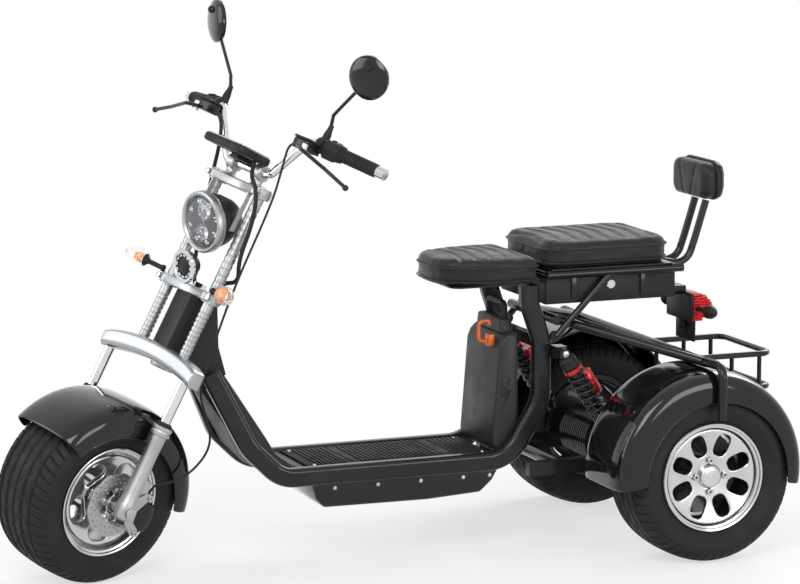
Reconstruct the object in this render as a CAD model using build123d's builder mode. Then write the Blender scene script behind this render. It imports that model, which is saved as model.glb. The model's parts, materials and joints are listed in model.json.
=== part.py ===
from build123d import *
from math import asin, cos, radians, sin
import os

os.makedirs("parts", exist_ok=True)

# Three-wheeled electric scooter for two, parked with its bars turned to the left.
# Millimetres, X forward, Y left, Z up, the ground at Z 0.

# Driving dimensions
wheelbase = 1560.0
front_axle_x = 830.0
tyre_radius = 227.0
rim_radius = 144.0
rake = 27.3
steer_angle = 21.1
axle_lead = 50.0
rear_track = 742.0
gap = 0.3

# Tyre and rim sections
shoulder_radius = 40.0
crown_radius = 700.0
barrel_radius = 127.0
barrel_wall = 5.0
flange_wall = 6.0
front_tyre_width = 210.0
front_rim_width = 198.0
rear_tyre_width = 200.0
rear_rim_width = 164.0

# Steering: heights along the steering axis above the front axle
leg_y = 158.0
leg_radius = 20.0
leg_top = 232.0
stanchion_radius = 13.5
arch_z = 372.0
arch_end = 190.0
arch_depth = 56.0
arch_height = 40.0
tube_x = 24.0
tube_y = 87.0
tube_radius = 15.0
stem_radius = 14.0
clamp_z = 574.0
clamp_thick = 20.0
top_clamp_z = 870.0
clamp_reach = 104.0
clamp_front = 54.0
bar_radius = 11.0
bar_z = 918.0
riser_y = 54.0
cap_size = 38.0
grip_z = 1040.0

# Body stations, as distances behind the front axle
deck_front = 560.0
deck_rear = 1090.0
deck_z = 246.0
rail_y = 132.0
rail_width = 36.0
rail_depth = 50.0
belly_z = 150.0
seat_front = 934.0
seat_split = 1208.0
seat_rear = 1588.0
pan_z = 712.0
frame_z = 735.0
frame_y = 162.0
frame_radius = 11.0
box_floor = 655.0

# Rear fender
fender_y_in = rear_track / 2 - rear_tyre_width / 2 - 7.0
fender_y_out = rear_track / 2 + rear_tyre_width / 2 + 15.0
fender_radius = 268.0
fender_wall = 4.0


def station(distance):
    """X of a place that lies this far behind the front axle."""
    return front_axle_x - distance


rear_axle_x = station(wheelbase)
rear_axle_z = tyre_radius


def shoulder(width):
    """Centre and tangent angle of a tyre's shoulder arc, as axial and radial places."""
    reach = width / 2 - shoulder_radius
    angle = asin(reach / (crown_radius - shoulder_radius))
    radial = tyre_radius - crown_radius + (crown_radius - shoulder_radius) * cos(angle)
    return reach, radial, angle


# The steering frame: origin beside the axle on the steering axis, Z along that axis
lean = asin(sin(radians(rake)) * sin(radians(steer_angle)))
front_side, front_radial, _ = shoulder(front_tyre_width)
front_drop = front_radial * cos(lean) + front_side * sin(lean) + shoulder_radius
steer_out = Vector(cos(radians(rake)), 0, sin(radians(rake)))
steer_axis = Vector(-sin(radians(rake)), 0, cos(radians(rake)))
steer_side = Vector(0, 1, 0)
steer_x = steer_out * cos(radians(steer_angle)) + steer_side * sin(radians(steer_angle))
steer_origin = Vector(
    front_axle_x - axle_lead * steer_out.X,
    0,
    front_drop - axle_lead * steer_x.Z,
)
steer_plane = Plane(origin=steer_origin, x_dir=steer_x, z_dir=steer_axis)
straight_plane = Plane(origin=steer_origin, x_dir=steer_out, z_dir=steer_axis)
steered = steer_plane.location
wheel_place = steered * Location((axle_lead, 0, 0))


def rod(points, radii, radius, bore=0.0):
    """A round bar or tube along straight runs joined by arcs."""
    with BuildPart() as bar:
        with BuildLine() as line:
            if len(points) > 2:
                FilletPolyline(*points, radius=radii)
            else:
                Line(*points)
        with BuildSketch(Plane(origin=line.wire() @ 0, z_dir=line.wire() % 0)):
            Circle(radius)
            if bore > 0:
                Circle(bore, mode=Mode.SUBTRACT)
        sweep(path=line.wire())
    return bar.part


# Tyres, revolved about the wheel's own Y axis
def tyre(width, rim_width):
    side, radial, angle = shoulder(width)
    bead = rim_width / 2 - flange_wall - gap
    middle = (angle + radians(90)) / 2
    inner = barrel_radius + gap
    crown_end = (crown_radius * sin(angle), tyre_radius - crown_radius * (1 - cos(angle)))
    shoulder_mid = (side + shoulder_radius * sin(middle), radial + shoulder_radius * cos(middle))
    wall_mid = ((width / 2 + bead) / 2 + 4, (radial + rim_radius) / 2 - 6)
    with BuildPart() as ring:
        with BuildSketch(Plane.YZ):
            with BuildLine():
                ThreePointArc((-crown_end[0], crown_end[1]), (0, tyre_radius), crown_end)
                ThreePointArc(crown_end, shoulder_mid, (width / 2, radial))
                ThreePointArc((width / 2, radial), wall_mid, (bead, rim_radius))
                Line((bead, rim_radius), (bead, inner))
                Line((bead, inner), (-bead, inner))
                Line((-bead, inner), (-bead, rim_radius))
                ThreePointArc((-bead, rim_radius), (-wall_mid[0], wall_mid[1]), (-width / 2, radial))
                ThreePointArc(
                    (-width / 2, radial),
                    (-shoulder_mid[0], shoulder_mid[1]),
                    (-crown_end[0], crown_end[1]),
                )
            make_face()
        revolve(axis=Axis.Y)
    return ring.part


def rim(rim_width, spokes, face_y, hub_radius, hub_in, hub_out, spoke_width):
    """A cast rim: barrel with two flanges, a hub and flat spokes near one face."""
    half = rim_width / 2
    inside = barrel_radius - barrel_wall
    with BuildPart() as wheel:
        with BuildSketch(Plane.YZ):
            with BuildLine():
                Polyline(
                    (-half, inside + 4),
                    (-half, rim_radius),
                    (-half + flange_wall, rim_radius),
                    (-half + flange_wall, barrel_radius),
                    (half - flange_wall, barrel_radius),
                    (half - flange_wall, rim_radius),
                    (half, rim_radius),
                    (half, inside + 4),
                    (half - 16, inside),
                    (-half + 16, inside),
                    close=True,
                )
            make_face()
        revolve(axis=Axis.Y)
        with BuildSketch(Plane.XZ.offset(-hub_out)):
            Circle(hub_radius)
        extrude(amount=hub_out - hub_in)
        with BuildSketch(Plane.XZ.offset(-face_y)):
            with PolarLocations(0, spokes):
                Polygon(
                    (hub_radius - 12, -spoke_width * 0.8),
                    (inside + 2, -spoke_width * 0.5),
                    (inside + 2, spoke_width * 0.5),
                    (hub_radius - 12, spoke_width * 0.8),
                    align=None,
                )
        extrude(amount=14)
    return wheel.part


axle_radius = 8.0
rear_hub_bore = 12.0
front_hub = 84.0

# Front wheel
with BuildPart() as front_rim:
    add(rim(front_rim_width, 5, 56.0, 52.0, -front_hub, front_hub, 44.0))
    with BuildSketch(Plane.XZ):
        Circle(axle_radius + gap)
    extrude(amount=front_rim_width, both=True, mode=Mode.SUBTRACT)
front_rim.part.location = wheel_place
front_rim.part.label = "front_rim"
export_step(front_rim.part, "parts/front_rim.step")

with BuildPart() as front_tyre:
    add(tyre(front_tyre_width, front_rim_width))
front_tyre.part.location = wheel_place
front_tyre.part.label = "front_tyre"
export_step(front_tyre.part, "parts/front_tyre.step")

disc_y = 116.0
disc_radius = 84.0
disc_wall = 4.0
with BuildPart() as brake_disc:
    with BuildSketch(Plane.XZ.offset(-disc_y - disc_wall)):
        Circle(disc_radius)
        Circle(disc_radius - 26, mode=Mode.SUBTRACT)
        with PolarLocations((disc_radius + 20) / 2 - 10, 5):
            Rectangle(disc_radius - 24, 12)
        Circle(34)
        Circle(axle_radius + gap, mode=Mode.SUBTRACT)
    extrude(amount=disc_wall)
    with BuildSketch(Plane.XZ.offset(-disc_y)):
        Circle(30)
        Circle(axle_radius + gap, mode=Mode.SUBTRACT)
    extrude(amount=disc_y - front_hub - gap)
brake_disc.part.location = wheel_place
brake_disc.part.label = "brake_disc"
export_step(brake_disc.part, "parts/brake_disc.step")

# Rear wheels, one table row each: node side and Y direction
sides = (("left", 1), ("right", -1))
for side_name, side_y in sides:
    place = Location((rear_axle_x, side_y * rear_track / 2, rear_axle_z))
    turn = Location((0, 0, 0), (0, 0, 0 if side_y > 0 else 180))

    with BuildPart() as rear_rim:
        add(rim(rear_rim_width, 8, 74.0, 58.0, -20.0, 78.0, 24.0))
        with BuildSketch(Plane.XZ.offset(-78.0)):
            Circle(27)
        extrude(amount=-24)
        with BuildSketch(Plane.XZ.offset(20.0)):
            Circle(rear_hub_bore + gap)
        extrude(amount=-70, mode=Mode.SUBTRACT)
    rear_rim.part.location = place * turn
    rear_rim.part.label = f"rear_rim_{side_name}"
    export_step(rear_rim.part, f"parts/rear_rim_{side_name}.step")

    with BuildPart() as rear_tyre:
        add(tyre(rear_tyre_width, rear_rim_width))
    rear_tyre.part.location = place
    rear_tyre.part.label = f"rear_tyre_{side_name}"
    export_step(rear_tyre.part, f"parts/rear_tyre_{side_name}.step")

# Fork legs with their collars, the axle and its nuts
with BuildPart() as fork_legs:
    with Locations((axle_lead, leg_y, 0), (axle_lead, -leg_y, 0)):
        Cylinder(leg_radius, leg_top - 10, align=(Align.CENTER, Align.CENTER, Align.MIN))
        Sphere(leg_radius + 5)
    with Locations((axle_lead, leg_y, leg_top - 26), (axle_lead, -leg_y, leg_top - 26)):
        Cylinder(leg_radius + 6, 26, align=(Align.CENTER, Align.CENTER, Align.MIN))
    with Locations((axle_lead, leg_y, 60), (axle_lead, -leg_y, 60)):
        Cylinder(
            stanchion_radius + gap,
            leg_top,
            align=(Align.CENTER, Align.CENTER, Align.MIN),
            mode=Mode.SUBTRACT,
        )
    with BuildSketch(Plane.XZ.offset(-leg_y - leg_radius - 10)):
        with Locations((axle_lead, 0)):
            Circle(axle_radius)
    extrude(amount=2 * (leg_y + leg_radius + 10))
    for side_name, side_y in sides:
        with BuildSketch(Plane.XZ.offset(-side_y * (leg_y + leg_radius + 5))):
            with Locations((axle_lead, 0)):
                RegularPolygon(14, 6)
        extrude(amount=5, both=True)
        with BuildSketch(Plane.XZ.offset(-side_y * leg_y)):
            with Locations((axle_lead, 0)):
                Circle(13)
        extrude(amount=side_y * (leg_y - disc_y - disc_wall - 1))
fork_legs.part.location = steered
fork_legs.part.label = "fork_legs"
export_step(fork_legs.part, "parts/fork_legs.step")

# Stanchions below the arch and the wider-set upper tubes above it
with BuildPart() as fork_tubes:
    with Locations((axle_lead, leg_y, 60 + gap), (axle_lead, -leg_y, 60 + gap)):
        Cylinder(
            stanchion_radius,
            arch_z - arch_height / 2 - 60 - 2 * gap,
            align=(Align.CENTER, Align.CENTER, Align.MIN),
        )
    low = arch_z + arch_height / 2 + gap
    with Locations((tube_x, tube_y, low), (tube_x, -tube_y, low)):
        Cylinder(
            tube_radius,
            top_clamp_z - clamp_thick / 2 - gap - low,
            align=(Align.CENTER, Align.CENTER, Align.MIN),
        )
fork_tubes.part.location = steered
fork_tubes.part.label = "fork_tubes"
export_step(fork_tubes.part, "parts/fork_tubes.step")

# Arch: a bowed cast crown that spreads the legs wider than the tubes
with BuildPart() as fork_arch:
    with BuildSketch(Plane.YZ.offset(tube_x - 16)):
        with BuildLine():
            ThreePointArc(
                (-arch_end, arch_z - arch_height / 2),
                (0, arch_z - arch_height / 2 + 4),
                (arch_end, arch_z - arch_height / 2),
            )
            Line((arch_end, arch_z - arch_height / 2), (arch_end, arch_z + arch_height / 2))
            Polyline(
                (arch_end, arch_z + arch_height / 2),
                (tube_y + 20, arch_z + arch_height / 2),
                (-tube_y - 20, arch_z + arch_height / 2),
                (-arch_end, arch_z + arch_height / 2),
                (-arch_end, arch_z - arch_height / 2),
            )
        make_face()
    extrude(amount=arch_depth)
    with BuildSketch(Plane.XY.offset(arch_z - arch_height / 2 + 6)):
        Circle(30)
    extrude(amount=arch_height - 6)
fork_arch.part.location = steered
fork_arch.part.label = "fork_arch"
export_step(fork_arch.part, "parts/fork_arch.step")

# Clamps: the upper crown on the steering stem and the yoke that carries the bars
with BuildPart() as fork_clamps:
    for height in (clamp_z, top_clamp_z):
        with BuildSketch(Plane.XY.offset(height - clamp_thick / 2)):
            with BuildLine():
                Polyline(
                    (clamp_front, -clamp_reach),
                    (clamp_front, clamp_reach),
                    (tube_x - 22, clamp_reach),
                    (-30, 34),
                    (-30, -34),
                    (tube_x - 22, -clamp_reach),
                    close=True,
                )
            make_face()
            with Locations((tube_x, tube_y), (tube_x, -tube_y)):
                if height == clamp_z:
                    Circle(tube_radius + gap, mode=Mode.SUBTRACT)
        extrude(amount=clamp_thick)
    with Locations((tube_x, riser_y, top_clamp_z), (tube_x, -riser_y, top_clamp_z)):
        Cylinder(12, bar_z - top_clamp_z - bar_radius, align=(Align.CENTER, Align.CENTER, Align.MIN))
    with Locations((tube_x, riser_y, bar_z), (tube_x, -riser_y, bar_z)):
        Box(cap_size, 26, cap_size)
    with BuildSketch(Plane.XZ.offset(-100)):
        with Locations((tube_x, bar_z)):
            Circle(bar_radius + gap)
    extrude(amount=200, mode=Mode.SUBTRACT)
fork_clamps.part.location = steered
fork_clamps.part.label = "fork_clamps"
export_step(fork_clamps.part, "parts/fork_clamps.step")

# Steering stem between the arch and the upper crown, with its nut
stem_low = arch_z + arch_height / 2 + gap
stem_high = clamp_z - clamp_thick / 2 - gap
with BuildPart() as steering_stem:
    with Locations((0, 0, stem_low)):
        Cylinder(stem_radius, stem_high - stem_low, align=(Align.CENTER, Align.CENTER, Align.MIN))
    with BuildSketch(Plane.XY.offset(clamp_z + clamp_thick / 2 + gap)):
        RegularPolygon(18, 6)
    extrude(amount=14)
steering_stem.part.location = steered
steering_stem.part.label = "steering_stem"
export_step(steering_stem.part, "parts/steering_stem.step")

# Handlebar: level in the risers, then up and swept back to the grips
bar_points = (
    (tube_x, 0, bar_z),
    (tube_x, 88, bar_z),
    (tube_x + 6, 150, grip_z - 40),
    (tube_x + 4, 186, grip_z),
    (-40, 400, grip_z - 4),
)
grip_start = 91.0
grip_length = 113.0
grip_radius = 17.0


def grip_plane(along, side_y=1):
    """A plane across the bar's end run, this far from the run's start."""
    start = Vector(*bar_points[3])
    way = (Vector(*bar_points[4]) - start).normalized()
    point = start + way * along
    return Plane(
        origin=(point.X, side_y * point.Y, point.Z),
        x_dir=(0, 0, 1),
        z_dir=(way.X, side_y * way.Y, way.Z),
    )


with BuildPart() as handlebar:
    add(rod(bar_points, (30, 22, 22), bar_radius))
    with BuildSketch(grip_plane(grip_start + grip_length + gap)):
        Circle(15)
    extrude(amount=24)
    mirror(about=Plane.XZ)
handlebar.part.location = steered
handlebar.part.label = "handlebar"
export_step(handlebar.part, "parts/handlebar.step")


with BuildPart() as grips:
    for side_name, side_y in sides:
        with BuildSketch(grip_plane(grip_start, side_y)):
            Circle(grip_radius)
            Circle(bar_radius + gap, mode=Mode.SUBTRACT)
        extrude(amount=grip_length)
grips.part.location = steered
grips.part.label = "grips"
export_step(grips.part, "parts/grips.step")

# Switch housings, lever perches and brake fluid reservoirs
reservoir = (62, 201, 1022)
with BuildPart() as hand_controls:
    for side_name, side_y in sides:
        with BuildSketch(grip_plane(grip_start - 52, side_y)):
            RectangleRounded(46, 42, 8)
            Circle(bar_radius + gap, mode=Mode.SUBTRACT)
        extrude(amount=51)
        with BuildSketch(grip_plane(grip_start - 78, side_y)):
            with Locations((-4, side_y * 16)):
                RectangleRounded(34, 62, 6)
            Circle(bar_radius + gap, mode=Mode.SUBTRACT)
        extrude(amount=22)
        with Locations((reservoir[0], side_y * reservoir[1], reservoir[2])):
            Box(42, 50, 30)
        with Locations((14, side_y * 208, grip_z + 12)):
            Cylinder(9, 18, align=(Align.CENTER, Align.CENTER, Align.MIN))
hand_controls.part.location = steered
hand_controls.part.label = "hand_controls"
export_step(hand_controls.part, "parts/hand_controls.step")

lever_points = (
    (reservoir[0] + 21 + 5 + gap, 206, 1012),
    (reservoir[0] + 40, 240, 1006),
    (74, 320, 984),
    (56, 396, 962),
)
with BuildPart() as brake_levers:
    add(rod(lever_points, (12, 60), 5.0))
    with Locations(lever_points[3]):
        Sphere(8)
    mirror(about=Plane.XZ)
brake_levers.part.location = steered
brake_levers.part.label = "brake_levers"
export_step(brake_levers.part, "parts/brake_levers.step")

# Mirrors: a bent stem and a round head facing the rider
mirror_head = (67, 313, 1237)
mirror_radius = 57.0
stem_points = (
    (14, 208, grip_z + 30 + 2 * gap),
    (16, 208, 1094),
    (28, 212, 1120),
    (58, 294, 1214),
)
with BuildPart() as mirrors:
    add(rod(stem_points, (12, 24), 5.0))
    with BuildSketch(Plane(origin=mirror_head, x_dir=(0, 1, 0), z_dir=(0.845, 0.31, -0.436))):
        Circle(mirror_radius)
    extrude(amount=9, both=True, taper=12)
    mirror(about=Plane.XZ)
mirrors.part.location = steered
mirrors.part.label = "mirrors"
export_step(mirrors.part, "parts/mirrors.step")

# Headlight, level with the road: bucket, bezel and lens on one axis
lamp_face = Vector(92, 0, 738)
lamp_axis = Vector(0.889, 0, -0.459)
lamp_radius = 80.0
lamp_depth = 112.0
bucket_radius = 72.0
lamp_plane = Plane(origin=lamp_face, x_dir=(0, 1, 0), z_dir=lamp_axis)
lamp_back = lamp_plane.offset(-lamp_depth)
with BuildPart() as headlight_shell:
    with BuildSketch(lamp_plane.offset(-70)):
        Circle(bucket_radius)
    with BuildSketch(lamp_back):
        Circle(34)
    loft(ruled=True)
    with BuildSketch(lamp_plane.offset(-70)):
        Circle(bucket_radius)
    extrude(amount=50)
    with BuildSketch(lamp_plane.offset(-30)):
        Circle(lamp_radius)
    extrude(amount=30)
    with BuildSketch(lamp_plane.offset(-12)):
        Circle(lamp_radius - 12)
    extrude(amount=14, mode=Mode.SUBTRACT)
headlight_shell.part.location = steered
headlight_shell.part.label = "headlight_shell"
export_step(headlight_shell.part, "parts/headlight_shell.step")

with BuildPart() as headlight_lens:
    with BuildSketch(lamp_plane.offset(-12 + gap)):
        Circle(lamp_radius - 12 - gap)
    extrude(amount=9)
headlight_lens.part.location = steered
headlight_lens.part.label = "headlight_lens"
export_step(headlight_lens.part, "parts/headlight_lens.step")

with BuildPart() as lamp_bracket:
    for side_name, side_y in sides:
        with BuildSketch(Plane.XZ.offset(-side_y * (bucket_radius + gap))):
            with BuildLine():
                Polyline(
                    (clamp_front, top_clamp_z - clamp_thick / 2 - gap),
                    (tube_x + tube_radius + 2, top_clamp_z - clamp_thick / 2 - gap),
                    (tube_x + tube_radius + 2, 752),
                    (58, 748),
                    close=True,
                )
            make_face()
        extrude(amount=-side_y * 3)
lamp_bracket.part.location = steered
lamp_bracket.part.label = "lamp_bracket"
export_step(lamp_bracket.part, "parts/lamp_bracket.step")

# Horn and front turn signals, carried off the upper crown
horn_face = Vector(88, 0, 622)
with BuildPart() as horn:
    with BuildSketch(Plane(origin=horn_face, x_dir=(0, 1, 0), z_dir=lamp_axis)):
        Circle(44)
    extrude(amount=-26)
    with BuildSketch(Plane.XY.offset(clamp_z + clamp_thick / 2 + gap)):
        with Locations((tube_x + 6, 0)):
            Rectangle(24, 16)
    extrude(amount=24)
    with Locations((56, 0, 606)):
        Box(44, 12, 8)
horn.part.location = steered
horn.part.label = "horn"
export_step(horn.part, "parts/horn.step")

with BuildPart() as front_signals:
    for side_name, side_y in sides:
        with BuildSketch(Plane.XZ.offset(-side_y * (clamp_reach + gap))):
            with Locations((tube_x + 14, clamp_z)):
                Circle(7)
        extrude(amount=-side_y * 62)
        with BuildSketch(Plane.XZ.offset(-side_y * 160)):
            with Locations((tube_x + 34, clamp_z)):
                Ellipse(34, 17)
        with BuildSketch(Plane.XZ.offset(-side_y * 226)):
            with Locations((tube_x + 44, clamp_z)):
                Ellipse(14, 8)
        loft()
front_signals.part.location = steered
front_signals.part.label = "front_signals"
export_step(front_signals.part, "parts/front_signals.step")

# Display panel above the bars
display_low = bar_z + cap_size / 2 + gap
with BuildPart() as display_panel:
    with BuildSketch(Plane.XY.offset(display_low)):
        with Locations((tube_x + 4, 0)):
            Rectangle(30, 2 * riser_y)
    extrude(amount=4)
    with BuildSketch(Plane.XY.offset(display_low + 4)):
        with Locations((84, 0)):
            RectangleRounded(98, 150, 20)
    extrude(amount=12)
display_panel.part.location = steered
display_panel.part.label = "display_panel"
export_step(display_panel.part, "parts/display_panel.step")

# Front fender: a rounded channel over the tyre with two side skirts
front_fender_radius = 262.0
front_fender_half = 118.0
with BuildPart() as front_fender:
    with BuildSketch(Plane.XY):
        with BuildLine():
            Polyline(
                (front_fender_radius - 64, -front_fender_half),
                (front_fender_radius - 22, -front_fender_half),
                (front_fender_radius, -front_fender_half + 40),
                (front_fender_radius, front_fender_half - 40),
                (front_fender_radius - 22, front_fender_half),
                (front_fender_radius - 64, front_fender_half),
                (front_fender_radius - 64, front_fender_half - fender_wall),
                (front_fender_radius - 24, front_fender_half - fender_wall),
                (front_fender_radius - fender_wall, front_fender_half - 42),
                (front_fender_radius - fender_wall, -front_fender_half + 42),
                (front_fender_radius - 24, -front_fender_half + fender_wall),
                (front_fender_radius - 64, -front_fender_half + fender_wall),
                close=True,
            )
        make_face()
    revolve(axis=Axis.Y, revolution_arc=-144)
front_fender.part.location = wheel_place * Location((0, 0, 0), (0, -24, 0))
front_fender.part.label = "front_fender"
export_step(front_fender.part, "parts/front_fender.step")

# Brake calliper behind the left leg, on a plate beside the leg
calliper_in = 105.0
calliper_out = 146.0
with BuildPart() as brake_calliper:
    with BuildSketch(Plane.XZ.offset(-calliper_out)):
        with Locations((-30, 4)):
            RectangleRounded(50, 88, 14)
    extrude(amount=calliper_out - calliper_in)
    with BuildSketch(Plane.XZ.offset(-leg_y)):
        with BuildLine():
            Polyline(
                (axle_lead - leg_radius - 5 - gap, 78),
                (axle_lead - leg_radius - 5 - gap, 14),
                (-20, -26),
                (-46, -26),
                (-30, 30),
                close=True,
            )
        make_face()
    extrude(amount=leg_y - calliper_out + 2)
    with BuildSketch(Plane.XZ.offset(-disc_y - disc_wall - 2)):
        with Locations((axle_lead, 0)):
            Circle(disc_radius + 3)
    extrude(amount=disc_wall + 4, mode=Mode.SUBTRACT)
brake_calliper.part.location = steered
brake_calliper.part.label = "brake_calliper"
export_step(brake_calliper.part, "parts/brake_calliper.step")

shock_y = 196.0
shock_top = Vector(station(1248), shock_y, 532)
shock_low = Vector(station(1400), shock_y, 296)
shock_way = (shock_low - shock_top).normalized()

# Side rails: the welded U of the frame, from the neck along the deck to the seat
rail_points = (
    (station(1176), rail_y, pan_z - 4 - gap),
    (station(1176), rail_y, 664),
    (station(1212), rail_y, 560),
    (station(1212), rail_y, 400),
    (station(1120), rail_y, deck_z),
    (station(486), rail_y, deck_z),
    (station(400), rail_y, 330),
    (station(312), 84, 520),
)
rail_back = station(1212) - rail_depth / 2
with BuildPart() as frame_rails:
    with BuildLine() as rail_line:
        FilletPolyline(*rail_points, radius=(60, 90, 110, 110, 90, 90))
    start = rail_line.wire() @ 0
    way = rail_line.wire() % 0
    with BuildSketch(Plane(origin=start, x_dir=(0, 1, 0), z_dir=way)):
        RectangleRounded(rail_width, rail_depth, 12)
    sweep(path=rail_line.wire(), transition=Transition.RIGHT)
    mirror(about=Plane.XZ)
    with Locations((station(deck_front + 30), 0, deck_z), (station(deck_rear - 60), 0, deck_z)):
        Box(40, 2 * rail_y, 28)
    with Locations((station(1198), 0, 560)):
        Box(24, 2 * rail_y, 30)
    for side_name, side_y in sides:
        with Locations((shock_top.X, side_y * (shock_y - 10 - gap), shock_top.Z)):
            Box(30, 40, 32, align=(Align.CENTER, Align.MAX if side_y > 0 else Align.MIN, Align.CENTER))
frame_rails.part.label = "frame_rails"
export_step(frame_rails.part, "parts/frame_rails.step")

# Neck: the head tube in its black cover and the leg that runs down to the deck
neck_half = 56.0
head_low = arch_z + arch_height / 2 + 2
head_high = clamp_z - clamp_thick / 2 - 2
straight_side = Plane(origin=steer_origin, x_dir=steer_out, z_dir=(0, -1, 0))
with BuildPart() as neck_cover:
    with BuildSketch(straight_side.offset(-neck_half)):
        with BuildLine():
            Polyline(
                (32, head_low),
                (32, head_high),
                (-46, head_high),
                (-96, 470),
                (-146, 415),
                (-106, 350),
                (-44, 384),
                (-38, head_low),
                close=True,
            )
        make_face()
    extrude(amount=2 * neck_half)
    with BuildSketch(straight_plane.offset(head_low)):
        Circle(stem_radius + 0.5)
    extrude(amount=head_high - head_low, mode=Mode.SUBTRACT)
neck_cover.part.label = "neck_cover"
export_step(neck_cover.part, "parts/neck_cover.step")

# Leg shield between the rails, from the neck down to the deck
shield_way = Vector(-0.516, 0, -0.857)
with BuildPart() as leg_shield:
    with BuildSketch(Plane(origin=(station(332.4), 0, 491), x_dir=(0, 1, 0), z_dir=shield_way)):
        RectangleRounded(112, 74, 10)
    with BuildSketch(Plane(origin=(station(430), 0, 326), x_dir=(0, 1, 0), z_dir=shield_way)):
        RectangleRounded(216, 70, 10)
    with BuildSketch(Plane(origin=(station(500), 0, 258), x_dir=(0, 1, 0), z_dir=(-1, 0, -0.5))):
        RectangleRounded(224, 50, 10)
    with BuildSketch(Plane(origin=(station(570), 0, deck_z), x_dir=(0, 1, 0), z_dir=(-1, 0, 0))):
        RectangleRounded(226, 28, 10)
    loft(ruled=True)
leg_shield.part.label = "leg_shield"
export_step(leg_shield.part, "parts/leg_shield.step")

# Belly cover under the deck
with BuildPart() as belly_cover:
    with BuildSketch(Plane.XZ.offset(-rail_y + rail_width / 2 + gap)):
        with BuildLine():
            Polyline(
                (station(576), deck_z - 14 - gap),
                (station(604), belly_z),
                (station(901), belly_z + 2),
                (station(1060), belly_z + 12),
                (station(1108), deck_z - 14 - gap),
                close=True,
            )
        make_face()
    extrude(amount=2 * (rail_y - rail_width / 2 - gap))
belly_cover.part.label = "belly_cover"
export_step(belly_cover.part, "parts/belly_cover.step")

# Deck mat between the rails
with BuildPart() as deck_mat:
    with BuildSketch(Plane.XY.offset(deck_z + 14 + gap)):
        with Locations((station((deck_front + deck_rear) / 2), 0)):
            Rectangle(deck_rear - deck_front - 20, 2 * (rail_y - rail_width / 2 - gap))
    extrude(amount=9)
deck_mat.part.label = "deck_mat"
export_step(deck_mat.part, "parts/deck_mat.step")

# Battery case standing on the deck's end under the driver's seat
with BuildPart() as battery_case:
    with BuildSketch(Plane.XZ.offset(-rail_y + rail_width / 2 + gap)):
        with BuildLine():
            Polyline(
                (station(1096), deck_z + 15),
                (station(1082), deck_z + 50),
                (station(1102), 540),
                (station(1126), 580),
                (station(1158), 580),
                (station(1158), deck_z + 60),
                (station(1120), deck_z + 15),
                close=True,
            )
        make_face()
    extrude(amount=2 * (rail_y - rail_width / 2 - gap))
battery_case.part.label = "battery_case"
export_step(battery_case.part, "parts/battery_case.step")

# Seat frame: two rails, cross bars and the twin posts of the backrest
post_foot = station(1684)
post_top = (station(1740), 892)
with BuildPart() as seat_frame:
    add(rod(((station(1214), frame_y, frame_z), (station(1608), frame_y, frame_z)), None, frame_radius))
    add(
        rod(
            (
                (station(1600), 32, frame_z),
                (post_foot, 32, frame_z - 14),
                (station(1708), 32, 790),
                (post_top[0], 32, post_top[1]),
            ),
            (46, 60),
            frame_radius - 1,
        )
    )
    add(rod(((station(1400), frame_y, frame_z), (station(1242), frame_y, 572)), None, frame_radius - 2))
    with BuildSketch(Plane.XZ.offset(-frame_y)):
        with Locations((station(1242), 572)):
            Circle(14)
    extrude(amount=frame_y - rail_y - rail_width / 2 - gap)
    mirror(about=Plane.XZ)
    for place_x in (1226, 1424, 1596):
        with BuildSketch(Plane.XZ.offset(-frame_y)):
            with Locations((station(place_x), frame_z)):
                Circle(frame_radius - 3)
        extrude(amount=2 * frame_y)
seat_frame.part.label = "seat_frame"
export_step(seat_frame.part, "parts/seat_frame.step")

# Driver's seat and its pan on the ends of the rails
with BuildPart() as seat_pan:
    with BuildSketch(Plane.XY.offset(pan_z - 4)):
        with Locations((station(1080), 0)):
            RectangleRounded(236, 262, 30)
    extrude(amount=4)
seat_pan.part.label = "seat_pan"
export_step(seat_pan.part, "parts/seat_pan.step")

with BuildPart() as driver_seat:
    with BuildSketch(Plane.XY.offset(pan_z + gap)):
        with BuildLine():
            Polyline(
                (station(seat_split - 4), -150),
                (station(seat_front + 130), -146),
                (station(seat_front + 20), -92),
                (station(seat_front), 0),
                (station(seat_front + 20), 92),
                (station(seat_front + 130), 146),
                (station(seat_split - 4), 150),
                close=True,
            )
        make_face()
        fillet(vertices(), 24)
    extrude(amount=72)
    fillet(driver_seat.faces().sort_by(Axis.Z)[-1].edges(), 18)
driver_seat.part.label = "driver_seat"
export_step(driver_seat.part, "parts/driver_seat.step")

# Passenger's seat on its lid, hinged along the right side over the storage box
lid_z = frame_z + frame_radius + gap
with BuildPart() as passenger_seat:
    with BuildSketch(Plane.XY.offset(lid_z + 4 + gap)):
        with Locations((station((seat_split + seat_rear) / 2 + 2), 0)):
            RectangleRounded(seat_rear - seat_split - 8, 356, 40)
    extrude(amount=72)
    fillet(passenger_seat.faces().sort_by(Axis.Z)[-1].edges(), 16)
passenger_seat.part.label = "passenger_seat"
export_step(passenger_seat.part, "parts/passenger_seat.step")

with BuildPart() as seat_lid:
    with BuildSketch(Plane.XY.offset(lid_z)):
        with Locations((station((seat_split + seat_rear) / 2 + 2), 0)):
            Rectangle(seat_rear - seat_split - 30, 340)
    extrude(amount=4)
seat_lid.part.label = "seat_lid"
export_step(seat_lid.part, "parts/seat_lid.step")

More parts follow.
